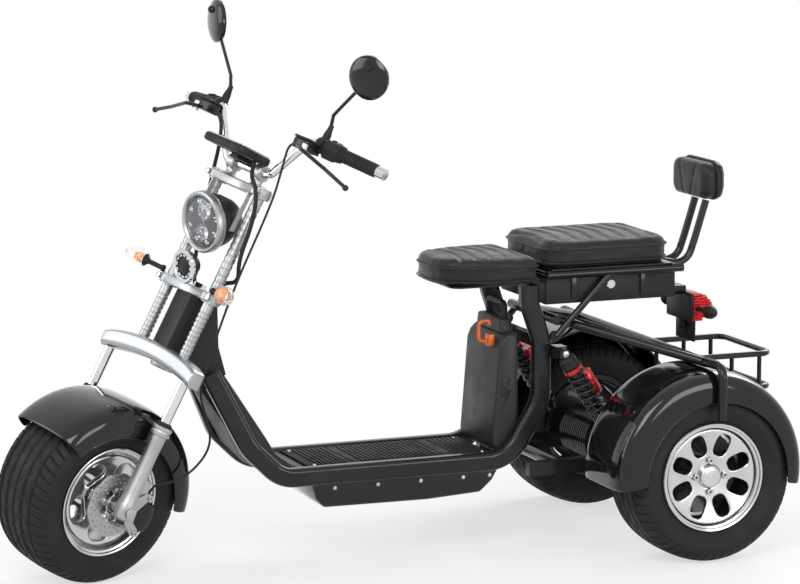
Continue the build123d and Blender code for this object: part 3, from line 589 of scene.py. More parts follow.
def glowing(made, colour, strength):
    """Adds a faint light of its own to a finish."""
    shader = made.node_tree.nodes["Principled BSDF"]
    shader.inputs["Emission Color"].default_value = (*colour, 1)
    shader.inputs["Emission Strength"].default_value = strength
    return made

FINISH = {}


def make_finishes(colours):
    """Makes every finish of the scooter from the panel's colours."""
    black, silver = colours.paint, colours.casting
    seat, red = colours.seat, colours.signal
    FINISH.update(
        tyre=grained(finish("tyre_rubber", (0.013, 0.013, 0.014), 0, 0.62, 900, 0.35, 0.15), 500, 0.25),
        gloss=finish("gloss_black", black, 0, 0.09, 60, 0.012, 0.3, coat=1.0),
        frame=finish("frame_black", (0.007, 0.007, 0.008), 0, 0.22, 700, 0.10, 0.2, coat=0.5),
        plastic=grained(finish("moulded_black", (0.013, 0.013, 0.014), 0, 0.42, 900, 0.2, 0.14), 1400, 0.22, 0.0003),
        charcoal=grained(finish("battery_charcoal", (0.024, 0.025, 0.026), 0, 0.4, 900, 0.2, 0.12), 1300, 0.3, 0.0003),
        rubber=grained(finish("black_rubber", (0.016, 0.016, 0.017), 0, 0.6, 800, 0.3, 0.16), 700, 0.3),
        leather=grained(
            finish("seat_leatherette", seat, 0, 0.42, 500, 0.18, 0.16, sheen=0.15), 620, 0.42, 0.0006
        ),
        thread=finish("seat_thread", (0.05, 0.05, 0.05), 0, 0.7, 1500, 0.5, 0.2),
        silver=finish("cast_silver", silver, 0.85, 0.34, 900, 0.12, 0.16),
        alloy=finish("polished_alloy", (0.58, 0.59, 0.60), 1.0, 0.2, 700, 0.05, 0.22),
        dark_alloy=finish("rim_paint_black", (0.012, 0.012, 0.013), 0.1, 0.3, 600, 0.1, 0.2, coat=0.6),
        chrome=finish("chrome", (0.66, 0.67, 0.68), 1.0, 0.06, 300, 0.02, 0.2),
        steel=finish("brushed_disc", (0.40, 0.40, 0.41), 1.0, 0.32, 500, 0.25, 0.18, stretch=(6, 1, 6)),
        bolt=finish("zinc_bolt", (0.45, 0.45, 0.44), 1.0, 0.28, 900, 0.15, 0.2),
        red=finish("anodised_red", red, 0.6, 0.22, 800, 0.08, 0.15, coat=0.4),
        orange=finish("orange_hook", (0.62, 0.13, 0.03), 0.2, 0.32, 800, 0.1, 0.15),
        lens=clear_glass("clear_cover", (0.95, 0.97, 1.0)),
        amber=glowing(clear_glass("amber_bulb", (0.9, 0.36, 0.05), 0.1, 0.3), (1.0, 0.35, 0.03), 0.08),
        red_lens=glowing(clear_glass("red_lens", (0.62, 0.01, 0.015), 0.06, 0.35), (0.6, 0.0, 0.0), 0.12),
        reflector=finish("lamp_reflector", (0.6, 0.61, 0.63), 1.0, 0.12, 300, 0.1, 0.2),
        mirror=finish("mirror_glass", (0.9, 0.91, 0.92), 1.0, 0.015, 20, 0.0, 0.1),
    )


# Tyres and wheels


def tyre_profile(width, bead, steps=10):
    """(along Y, radius) places of a tyre's skin from one bead to the middle of the crown."""
    shoulder, crown, tip = TYRE_SHOULDER, TYRE_CROWN, width / 2
    side = tip - shoulder
    lift = TYRE_RADIUS - crown + sqrt((crown - shoulder) ** 2 - side**2)
    half = [
        (bead - 6, 140.0), (bead, 140.5), (bead + 3, 147.0),
        (bead + (tip - bead) * 0.45, 158.0), (bead + (tip - bead) * 0.85, 172.0), (tip - 0.6, lift - 6),
    ]
    for step in range(steps + 1):
        angle = radians(84 * step / steps)
        half.append((side + shoulder * cos(angle), lift + shoulder * sin(angle)))
    start = half[-1][0] - 2
    flat = [start * (1 - n / 14) for n in range(1, 15)]
    half += [(y, TYRE_RADIUS - crown + sqrt(crown**2 - y**2)) for y in flat]
    return half


def tread_depth(y, turn, width, blocks, depth):
    """How deep the tread is cut at a place, from its long grooves and slanting shoulder cuts."""
    reach = abs(y)
    cut = 0.0
    for groove in (0.0, 0.30, 0.62):
        cut = max(cut, depth if abs(reach - groove * width / 2) < 3.2 else 0)
    if reach > 0.66 * width / 2:
        phase = (turn * blocks + (reach - 60) * 0.018 * (1 if y > 0 else -1) + 0.5 * (y < 0)) % 1
        cut = max(cut, depth * 0.85 if phase < 0.17 else 0)
    elif 0.33 * width / 2 < reach < 0.60 * width / 2:
        phase = (turn * blocks * 0.5 + reach * 0.03 * (1 if y > 0 else -1)) % 1
        cut = max(cut, depth * 0.55 if phase < 0.09 else 0)
    elif reach < 0.28 * width / 2:
        phase = (turn * blocks * 0.5 - y * 0.02) % 1
        cut = max(cut, depth * 0.4 if phase < 0.08 else 0)
    return cut


def tyre(name, width, bead, space, body, sizes):
    """A road tyre with its grooves cut into the crown and shoulders."""
    half = tyre_profile(width, bead)
    profile = half + [(-y, r) for y, r in reversed(half[:-1])]
    dense = [profile[0]]
    for a, b in zip(profile, profile[1:]):
        parts = max(1, round(sqrt((a[0] - b[0]) ** 2 + (a[1] - b[1]) ** 2) / 3.4))
        dense += [(a[0] + (b[0] - a[0]) * n / parts, a[1] + (b[1] - a[1]) * n / parts) for n in range(1, parts + 1)]
    segments = sizes.tread_blocks * 10
    points, faces = [], []
    count = len(dense)
    for step in range(segments):
        turn = step / segments
        angle = 2 * pi * turn
        for y, r in dense:
            cut = 0.0
            if r > TYRE_RADIUS - 34:
                cut = tread_depth(y, turn, width, sizes.tread_blocks, sizes.groove_depth / MM)
            ease = min(1.0, max(0.0, (r - TYRE_RADIUS + 34) / 12))
            out = r - cut * ease
            points.append((out * cos(angle), y, out * sin(angle)))
    for step in range(segments):
        here, there = step * count, (step + 1) % segments * count
        faces += [(here + n, here + n + 1, there + n + 1, there + n) for n in range(count - 1)]
    item = mesh_piece(name, points, faces, space, FINISH["tyre"], body)
    item.data.set_sharp_from_angle(angle=radians(45))
    return item


def spoked_face(name, spokes, inner, outer, window, open_share, dish, thick, space, material, body, round_to=4):
    """A cast wheel face: a polar net whose cells are left out where the windows are."""
    low, high = window
    rows = [inner, inner + (low - inner) * 0.5, low - 4]
    rows += [low + (high - low) * t for t in (0.0, 0.08, 0.25, 0.5, 0.75, 0.92, 1.0)]
    rows += [high + (outer - high) * 0.4, outer]
    middle, reach = (low + high) / 2, (high - low) / 2
    grid, points, faces = {}, [], []
    across = (-1.0, -0.72, -0.4, 0.0, 0.4, 0.72, 1.0)
    for spoke in range(spokes):
        for row, r in enumerate(rows):
            share = min(1.0, abs(r - middle) / reach)
            edge = open_share * (1 - 0.55 * share**round_to)
            edge = edge * min(1.25, middle / r) * pi / spokes
            sector = 2 * pi * (spoke + 0.5) / spokes
            places = [sector - edge + 2 * edge * (t + 1) / 2 for t in across]
            rib = pi / spokes - edge
            places = [sector - pi / spokes, sector - edge - rib * 0.4] + places + [sector + edge + rib * 0.4]
            for column, angle in enumerate(places):
                grid[spoke, row, column] = len(points)
                points.append((r * cos(angle), dish(r), r * sin(angle)))
    wide = 10
    for spoke in range(spokes):
        for row in range(len(rows) - 1):
            for column in range(wide):
                in_window = 3 <= row <= 8 and 2 <= column <= 7
                if in_window:
                    continue
                after = (spoke, column + 1) if column + 1 < wide else ((spoke + 1) % spokes, 0)
                faces.append((
                    grid[spoke, row, column], grid[spoke, row + 1, column],
                    grid[after[0], row + 1, after[1]], grid[after[0], row, after[1]],
                ))
    item = mesh_piece(name, points, faces, FLAT, material, body)
    shell = item.modifiers.new("wall", "SOLIDIFY")
    shell.thickness = thick
    shell.offset = 0
    applied(item)
    subdivided(item, 2)
    item.data.transform(space)
    face_outwards(item.data)
    return item


def wheel_bolts(name, radius, count, y, size, space, body, material):
    """A ring of hexagonal bolts about a hub."""
    head = plate(
        name, [circle_outline(radius, 0, size, 6), circle_outline(radius, 0, size * 0.5, 12)], 7, FLAT, material,
        body, 0.8,
    )
    head.data.transform(Matrix.Translation((0, y, 0)))
    return repeated(name, head, count, (0, 2 * pi / count, 0), (0, 0, 0), space, material)


def rim_barrel(name, width, space, body, material, well=116.0):
    """The drum of a rim with its stepped lips on both sides."""
    half = width / 2
    profile = [
        (half, 143.5), (half + 1.5, 141), (half, 137.5), (half - 5, 136), (half - 7, 131), (half - 14, 129.5),
        (half - 17, 126), (half - 36, 124.5), (half * 0.3, well + 4), (0, well + 4),
    ]
    profile += [(-y, r) for y, r in reversed(profile[:-1])]
    outside = [(-half + 3, 139.5), (-half + 22, 134), (0, well + 9), (half - 22, 134), (half - 3, 139.5)]
    return lathe(name, profile + outside, space, material, body, 128, closed=True)


class DressTyres(bpy.types.Operator):
    """Make the three road tyres with their grooves"""

    bl_idname = "scooter.dress_tyres"
    bl_label = "Tyres"

    def execute(self, context):
        sizes = context.scene.scooter_sizes
        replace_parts(tyre("front_tread", FRONT_TYRE_WIDTH, 93.0, FRONT_HUB, FRONT_WHEEL, sizes), "front_tyre")
        for side, word in SIDES:
            made = tyre(f"rear_tread_{word}", REAR_TYRE_WIDTH, 76.0, rear_hub(side), f"rear_wheel_{word}", sizes)
            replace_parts(made, f"rear_tyre_{word}")
        return {"FINISHED"}


class DressWheels(bpy.types.Operator):
    """Make the cast rims, the brake disc and their bolts"""

    bl_idname = "scooter.dress_wheels"
    bl_label = "Rims and brake disc"

    def execute(self, context):
        sizes = context.scene.scooter_sizes
        self.front_rim(sizes.front_spokes)
        self.brake_disc()
        for side, word in SIDES:
            self.rear_rim(side, word, sizes.rear_spokes)
        return {"FINISHED"}

    def front_rim(self, spokes):
        alloy, body = FINISH["alloy"], FRONT_WHEEL
        parts = [
            rim_barrel("front_drum", 198, FRONT_HUB, body, alloy),
            spoked_face(
                "front_spokes", spokes, 30, 122, (64, 108), 0.60, lambda r: 66 + 0.10 * (r - 40),
                15, FRONT_HUB, alloy, body,
            ),
            lathe(
                "front_hub",
                [
                    (-80, 0), (-80, 30), (-70, 40), (60, 40), (74, 46), (82, 60), (92, 60), (96, 52), (104, 48),
                    (106, 20), (106, 0),
                ],
                FRONT_HUB, alloy, body, 64,
            ),
            spoked_face(
                "front_spokes_far", spokes, 30, 122, (64, 108), 0.60, lambda r: -66 - 0.10 * (r - 40),
                12, FRONT_HUB, alloy, body,
            ),
        ]
        rim = joined("front_cast_rim", *parts)
        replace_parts(rim, "front_rim")

    def brake_disc(self):
        outer = [
            (r * cos(a), r * sin(a)) for a, r in (
                (2 * pi * n / 180, 83 + 1.4 * sin(10 * 2 * pi * n / 180)) for n in range(180)
            )
        ]
        holes = [circle_outline(0, 0, 46, 48)]
        for row, radius in ((0, 60), (1, 72)):
            for n in range(24):
                angle = 2 * pi * (n + 0.5 * row) / 24
                holes.append(circle_outline(radius * cos(angle), radius * sin(angle), 2.7, 12))
        face = plate("disc_ring", [outer, *holes], 4, moved(FRONT_HUB, 0, 118), FINISH["steel"], FRONT_WHEEL, 0.4)
        carrier = spoked_face(
            "disc_carrier", 5, 18, 52, (26, 44), 0.5, lambda r: 117, 5,
            FRONT_HUB, FINISH["alloy"], FRONT_WHEEL,
        )
        bolts = wheel_bolts("disc_bolts", 38, 5, 121, 6, FRONT_HUB, FRONT_WHEEL, FINISH["bolt"])
        disc = joined("perforated_disc", face, carrier, bolts)
        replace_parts(disc, "brake_disc")

    def rear_rim(self, side, word, spokes):
        body, space = f"rear_wheel_{word}", rear_hub(side)
        parts = [
            rim_barrel("drum", 164, space, body, FINISH["dark_alloy"], 112),
            lathe(
                "lip",
                [
                    (82, 143.8), (84.5, 141.5), (83, 137), (78, 135), (76, 130), (60, 127), (52, 124), (51, 127.5),
                    (60, 131), (72, 134), (76, 140),
                ],
                space, FINISH["alloy"], body, 128, closed=True,
            ),
            spoked_face(
                "spokes", spokes, 24, 127, (58, 116), 0.58, lambda r: 66 - 14 * (1 - (r / 127) ** 2),
                13, space, FINISH["alloy"], body, 6,
            ),
            lathe(
                "hub_cap",
                [(-30, 48), (30, 50), (48, 42), (58, 34), (64, 31), (70, 29), (73, 25), (74, 16), (74, 0)],
                space, FINISH["alloy"], body, 64,
            ),
            lathe(
                "back", [(-40, 0), (-40, 60), (-20, 112), (-14, 112), (-30, 60), (-30, 0)], space,
                FINISH["dark_alloy"], body, 64,
            ),
            wheel_bolts("lugs", 41, 4, 66, 8.5, space, body, FINISH["bolt"]),
        ]
        rim = joined(f"rear_cast_rim_{word}", *parts)
        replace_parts(rim, f"rear_rim_{word}")


# Fork and brakes


class DressFork(bpy.types.Operator):
    """Make the fork's legs, crown castings, clamps and brake"""

    bl_idname = "scooter.dress_fork"
    bl_label = "Fork"

    def execute(self, context):
        silver, chrome = FINISH["silver"], FINISH["chrome"]
        legs = []
        for side, _ in SIDES:
            foot = upright(FORK_SPACE, AXLE_LEAD, side * LEG_Y)
            legs.append(lathe(
                "leg",
                [(-26, 0), (-26, 14), (-20, 22), (-4, 25), (14, 25), (26, 22), (48, 20.5), (150, 19.5), (206, 20), (208, 25),
                 (216, 26), (218, 24.5), (222, 24.5), (224, 26), (230, 26), (232, 23), (232, 13.6)],
                foot, silver, STEERING, 48,
            ))
            legs.append(lathe(
                "seal", [
                    (232, 14), (232, 21), (240, 20), (243, 15.5), (243, 13.8),
                ], foot, FINISH["rubber"], STEERING, 48,
            ))
            legs.append(plate(
                "axle_nut", [circle_outline(AXLE_LEAD, 0, 14, 6)], 10,
                moved(FORK_SPACE, 0, side * 186), FINISH["bolt"], STEERING, 1.2,
            ))
            spacer = moved(FORK_SPACE, AXLE_LEAD)
            legs.append(lathe(
                "spacer", [
                    (side * 122, 0), (side * 122, 13), (side * 140, 13), (side * 140, 0),
                ], spacer, silver, STEERING, 32,
            ))
            legs.append(prism(
                "fender_lug", [(AXLE_LEAD - 44, 60), (AXLE_LEAD - 12, 50), (AXLE_LEAD - 12, 96), (AXLE_LEAD - 44, 90)],
                side * LEG_Y - 7, side * LEG_Y + 7, FORK_SPACE, silver, STEERING, 3,
            ))
        axle = moved(FORK_SPACE, AXLE_LEAD)
        legs.append(lathe("axle", [(-188, 0), (-188, 8), (188, 8), (188, 0)], axle, FINISH["bolt"], STEERING, 24))
        whole = joined("cast_fork_legs", *legs)
        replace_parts(whole, "fork_legs")
        self.tubes(chrome, silver)
        self.arch(silver)
        self.clamps(silver)
        self.calliper()
        return {"FINISHED"}

    def tubes(self, chrome, silver):
        parts = []
        for side, _ in SIDES:
            low = upright(FORK_SPACE, AXLE_LEAD, side * LEG_Y)
            parts.append(lathe("stanchion", [(62, 0), (62, 13.4), (351, 13.4), (351, 0)], low, chrome, STEERING, 40))
            high = upright(FORK_SPACE, TUBE_X, side * TUBE_Y)
            profile = [(393, 0), (393, 14.8)]
            for ring_number in range(11):
                z = 400 + 13 * ring_number
                profile += [(z, 14.8), (z + 1.5, 13.4), (z + 4, 13.4), (z + 5.5, 14.8)]
            for ring_number in range(14):
                z = 600 + 18 * ring_number
                profile += [(z, 14.8), (z + 1.5, 13.6), (z + 4, 13.6), (z + 5.5, 14.8)]
            profile += [(859, 14.8), (859, 0)]
            parts.append(lathe("upper_tube", profile, high, silver, STEERING, 40))
        whole = joined("fluted_fork_tubes", *parts)
        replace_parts(whole, "fork_tubes")

    def arch(self, silver):
        """The bowed crown: a row of box sections from one leg to the other."""
        points = []
        steps = 24
        for step in range(steps + 1):
            t = 2 * step / steps - 1
            y = 190 * t
            bow = 22 * (1 - t * t)
            x0, x1 = 6 + 10 * abs(t) ** 2, 66 - 4 * (1 - t * t)
            z0, z1 = 347 + bow, 396 + bow * 0.9 - 6 * abs(t) ** 6
            if abs(t) > 0.8:
                x0 += 6 * (abs(t) - 0.8) / 0.2
            points += [(x0, y, z0), (x1 - 8, y, z0), (x1, y, z0 + 12), (x1, y, z1 - 6), (x1 - 14, y, z1), (x0, y, z1)]
        faces = ring_faces(steps + 1, 6)
        faces += [tuple(range(6)), tuple(range(steps * 6, steps * 6 + 6))]
        crown = mesh_piece("crown", points, faces, FORK_SPACE, silver, STEERING)
        softened(crown, 4, 3, 30)
        head = FORK_SPACE @ Matrix.Rotation(radians(90), 4, "X")
        boss = lathe(
            "head_boss", [(358, 0), (358, 30), (362, 33), (388, 33), (392, 30), (392, 0)], head, silver, STEERING,
            48,
        )
        collars = []
        for side, _ in SIDES:
            place = upright(FORK_SPACE, TUBE_X, side * TUBE_Y)
            collars.append(lathe(
                "collar", [(386, 14), (386, 22), (400, 22), (404, 18), (404, 14.9)], place, silver, STEERING, 40,
            ))
        whole = joined("cast_arch", crown, boss, *collars)
        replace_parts(whole, "fork_arch")

    def clamps(self, silver):
        parts = []
        outline = [
            (-34, -30), (-34, 30), (-16, 62), (2, 104), (30, 112), (50, 100), (56, 84), (34, 40), (30, 0),
            (34, -40), (56, -84), (50, -100), (30, -112), (2, -104), (-16, -62),
        ]
        for z in CLAMP_HEIGHTS:
            level = upright(FORK_SPACE, 0, 0, z)
            parts.append(prism("clamp_plate", outline, -12, 12, level, silver, STEERING, 4))
            for side, _ in SIDES:
                place = upright(FORK_SPACE, TUBE_X, side * TUBE_Y)
                parts.append(lathe(
                    "clamp_ring",
                    [
                        (z - 14, 15), (z - 14, 24), (z + 14, 24), (z + 16, 20), (z + 16, 0),
                    ] if z > 800 else [(z - 14, 15.2), (z - 14, 24), (z + 14, 24), (z + 14, 15.2)],
                    place, silver, STEERING, 48,
                ))
                parts.append(plate(
                    "pinch_bolt", [circle_outline(0, 0, 7, 6)], 8,
                    moved(FORK_SPACE, 52, side * 104, z) @ Matrix.Rotation(radians(90), 4, "Z"), FINISH["bolt"],
                    STEERING, 1,
                ))
        for side, _ in SIDES:
            riser = upright(FORK_SPACE, TUBE_X, side * RISER_Y)
            parts.append(lathe(
                "riser", [(882, 0), (882, 17), (888, 14), (898, 13), (904, 15), (904, 0)], riser, silver, STEERING,
                40,
            ))
            saddle = moved(FORK_SPACE, TUBE_X, side * RISER_Y, BAR_Z)
            parts.append(lathe(
                "saddle", [(-14, 11.3), (-14, 20), (-12, 22), (12, 22), (14, 20), (14, 11.3)], saddle, silver,
                STEERING, 48, closed=True,
            ))
            parts.append(block(
                "saddle_cap", (TUBE_X - 14, side * RISER_Y - 13, BAR_Z + 4),
                (TUBE_X + 14, side * RISER_Y + 13, BAR_Z + 20), FORK_SPACE, silver, STEERING, 3,
            ))
        whole = joined("silver_clamps", *parts)
        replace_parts(whole, "fork_clamps")

    def calliper(self):
        body = STEERING
        hub = moved(FORK_SPACE, AXLE_LEAD)
        parts = []
        for low, high in ((124, 146), (96, 112)):
            parts.append(prism(
                "calliper_half",
                [(-106, -34), (-64, -44), (-54, -20), (-52, 20), (-60, 46), (-102, 38), (-112, 4)],
                low, high, hub, FINISH["frame"], body, 5,
            ))
        parts.append(prism(
            "calliper_bridge", [(-110, -30), (-92, -34), (-90, 34), (-106, 34)], 100, 140, hub, FINISH["frame"],
            body, 4,
        ))
        parts.append(plate(
            "ear_plate",
            [[
                (-16, -14), (-30, -34), (-58, -52), (-74, -46), (-70, -34), (-48, -22), (-44, 10), (-62, 40),
                (-74, 52), (-66, 62), (-50, 58), (-26, 34), (-16, 20),
            ]],
            8, moved(hub, 0, 152), FINISH["silver"], body, 1.4,
        ))
        for x, z in ((-66, -45), (-66, 53)):
            parts.append(plate(
                "calliper_bolt", [circle_outline(x, z, 7.5, 6), circle_outline(x, z, 3.4, 12)], 8,
                moved(hub, 0, 158), FINISH["bolt"], body, 0.8,
            ))
        banjo = upright(hub, -80, 130, 48)
        parts.append(lathe("banjo", [(-8, 0), (-8, 7), (8, 7), (8, 0)], banjo, FINISH["bolt"], body, 24))
        whole = joined("disc_calliper", *parts)
        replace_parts(whole, "brake_calliper")


# Cockpit

GRIP_START = Vector((28.0, 186.0, 1040.0))
GRIP_WAY = (Vector((-40.0, 400.0, 1036.0)) - GRIP_START).normalized()


def grip_space(side, along):
    """A space whose Y runs out along one end of the handlebar, this far from the bend."""
    way = Vector((GRIP_WAY.x, side * GRIP_WAY.y, GRIP_WAY.z))
    start = Vector((GRIP_START.x, side * GRIP_START.y, GRIP_START.z)) + way * along
    up = (Vector((0.35, 0, 1)) - way * way.dot(Vector((0.35, 0, 1)))).normalized()
    out = way.cross(up)
    turn = Matrix((out, way, up)).transposed().to_4x4()
    return FORK_SPACE @ Matrix.Translation(start) @ turn


class DressCockpit(bpy.types.Operator):
    """Make the grips, switch housings, brake reservoirs, display and mirrors"""

    bl_idname = "scooter.dress_cockpit"
    bl_label = "Cockpit"

    def execute(self, context):
        self.grips()
        self.controls()
        self.display()
        self.mirrors()
        return {"FINISHED"}

    def grips(self):
        parts = []
        for side, _ in SIDES:
            place = grip_space(side, 91)
            profile = [(0, 11.4), (0, 21), (3, 22), (5, 17)]
            for rib in range(14):
                y = 8 + 7.2 * rib
                profile += [(y, 17.6), (y + 4.6, 17.6), (y + 5.2, 16.2), (y + 6.8, 16.2)]
            profile += [(112, 16.5), (113, 11.4)]
            parts.append(lathe("ribbed_grip", profile, place, FINISH["rubber"], STEERING, 48, closed=True))
        whole = joined("rubber_grips", *parts)
        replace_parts(whole, "grips")

    def controls(self):
        parts = []
        plastic, bolt = FINISH["plastic"], FINISH["bolt"]
        for side, _ in SIDES:
            switch = grip_space(side, 64)
            parts.append(lathe(
                "switch_ring", [(-24, 11.4), (-24, 19), (-21, 22.5), (22, 23.5), (25, 20), (25, 11.4)], switch,
                plastic, STEERING, 40, closed=True,
            ))
            parts.append(block("switch_box", (-26, -22, -24), (20, 20, 12), switch, plastic, STEERING, 6))
            parts.append(block("switch_key", (-12, -12, 20), (-2, 0, 25), switch, FINISH["rubber"], STEERING, 1.5))
            parts.append(block(
                "red_key" if side > 0 else "grey_key", (-14, 4, 19), (-4, 14, 24), switch,
                FINISH["red"] if side > 0 else plastic, STEERING, 1.5,
            ))
            perch = grip_space(side, 26)
            parts.append(lathe(
                "perch", [(-11, 11.4), (-11, 18), (-9, 20), (9, 20), (11, 18), (11, 11.4)], perch, plastic,
                STEERING, 40, closed=True,
            ))
            spot = moved(FORK_SPACE, 62, side * 201, 1022)
            parts.append(block("reservoir", (-20, -26, -15), (20, 26, 12), spot, FINISH["frame"], STEERING, 4, 1.04))
            parts.append(block("reservoir_lid", (-22, -28, 12), (22, 28, 18), spot, plastic, STEERING, 2))
            parts.append(block("reservoir_neck", (-46, -12, -12), (-14, 14, 8), spot, FINISH["frame"], STEERING, 4))
            parts.append(lathe(
                "lever_pivot", [(-12, 0), (-12, 9), (12, 9), (12, 0)], upright(spot, 18, side * 22, -10), bolt,
                STEERING, 24,
            ))
            for x, y in ((-14, -20), (14, 20)):
                parts.append(lathe(
                    "lid_screw", [(17, 0), (17, 3.4), (19, 3), (19, 0)], upright(spot, x, y), bolt, STEERING, 16,
                ))
            socket = upright(FORK_SPACE, 14, side * 208, 1040)
            parts.append(lathe(
                "mirror_socket", [(8, 0), (8, 11), (22, 11), (30, 8), (30, 0)], socket, FINISH["rubber"], STEERING,
                32,
            ))
        whole = joined("bar_controls", *parts)
        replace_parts(whole, "hand_controls")

    def display(self):
        level = moved(FORK_SPACE, 85, 0, 947)
        shell = plate(
            "display_shell", [rounded_box(104, 156, 18)], 22, level @ Matrix.Rotation(radians(-90), 4, "X"),
            FINISH["plastic"], STEERING, 7,
        )
        trim = plate(
            "display_rim", [rounded_box(100, 152, 17), rounded_box(86, 136, 12)], 5,
            moved(level, 0, 0, 11) @ Matrix.Rotation(radians(-90), 4, "X"), FINISH["silver"], STEERING, 1.6,
        )
        glass = plate(
            "display_glass", [rounded_box(88, 138, 12)], 2.4,
            moved(level, 0, 0, 10.6) @ Matrix.Rotation(radians(-90), 4, "X"), FINISH["gloss"], STEERING, 0.8,
        )
        stalk = block("display_stalk", (-58, -16, -22), (0, 16, -8), level, FINISH["plastic"], STEERING, 4)
        whole = joined("display_pod", shell, trim, glass, stalk)
        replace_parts(whole, "display_panel")

    def mirrors(self):
        parts = []
        for side, _ in SIDES:
            route = [
                (14, side * 208, 1070), (16, side * 208, 1096), (28, side * 212, 1122), (58, side * 294, 1214),
                (62, side * 304, 1228),
            ]
            parts.append(swept("stem", route, ring(4.6, 16), FORK_SPACE, FINISH["frame"], STEERING, 14))
            boot = upright(FORK_SPACE, 14, side * 208, 1064)
            parts.append(lathe(
                "boot", [(0, 0), (0, 10), (6, 10.5), (20, 7.5), (34, 6), (36, 0)], boot, FINISH["rubber"],
                STEERING, 32,
            ))
            out = Vector((0.845, side * 0.31, -0.436)).normalized()
            side_way = Vector((0, 0, 1)).cross(out).normalized()
            face = Matrix((side_way, out, side_way.cross(out))).transposed().to_4x4()
            head = moved(FORK_SPACE, 67, side * 313, 1237) @ face
            parts.append(lathe(
                "shell", [(-8, 51), (-9, 55), (-4, 57), (2, 56.5), (6, 52), (10, 42), (12.5, 26), (13.5, 0)], head,
                FINISH["gloss"], STEERING, 72,
            ))
            parts.append(lathe("glass", [(-7.4, 0), (-7.4, 52)], head, FINISH["mirror"], STEERING, 72))
            parts.append(lathe(
                "knuckle", [(8, 0), (8, 11), (18, 9), (22, 5), (22, 0)], moved(head, 0, 0, -30), FINISH["plastic"],
                STEERING, 24,
            ))
        whole = joined("round_mirrors", *parts)
        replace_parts(whole, "mirrors")


# Lamps


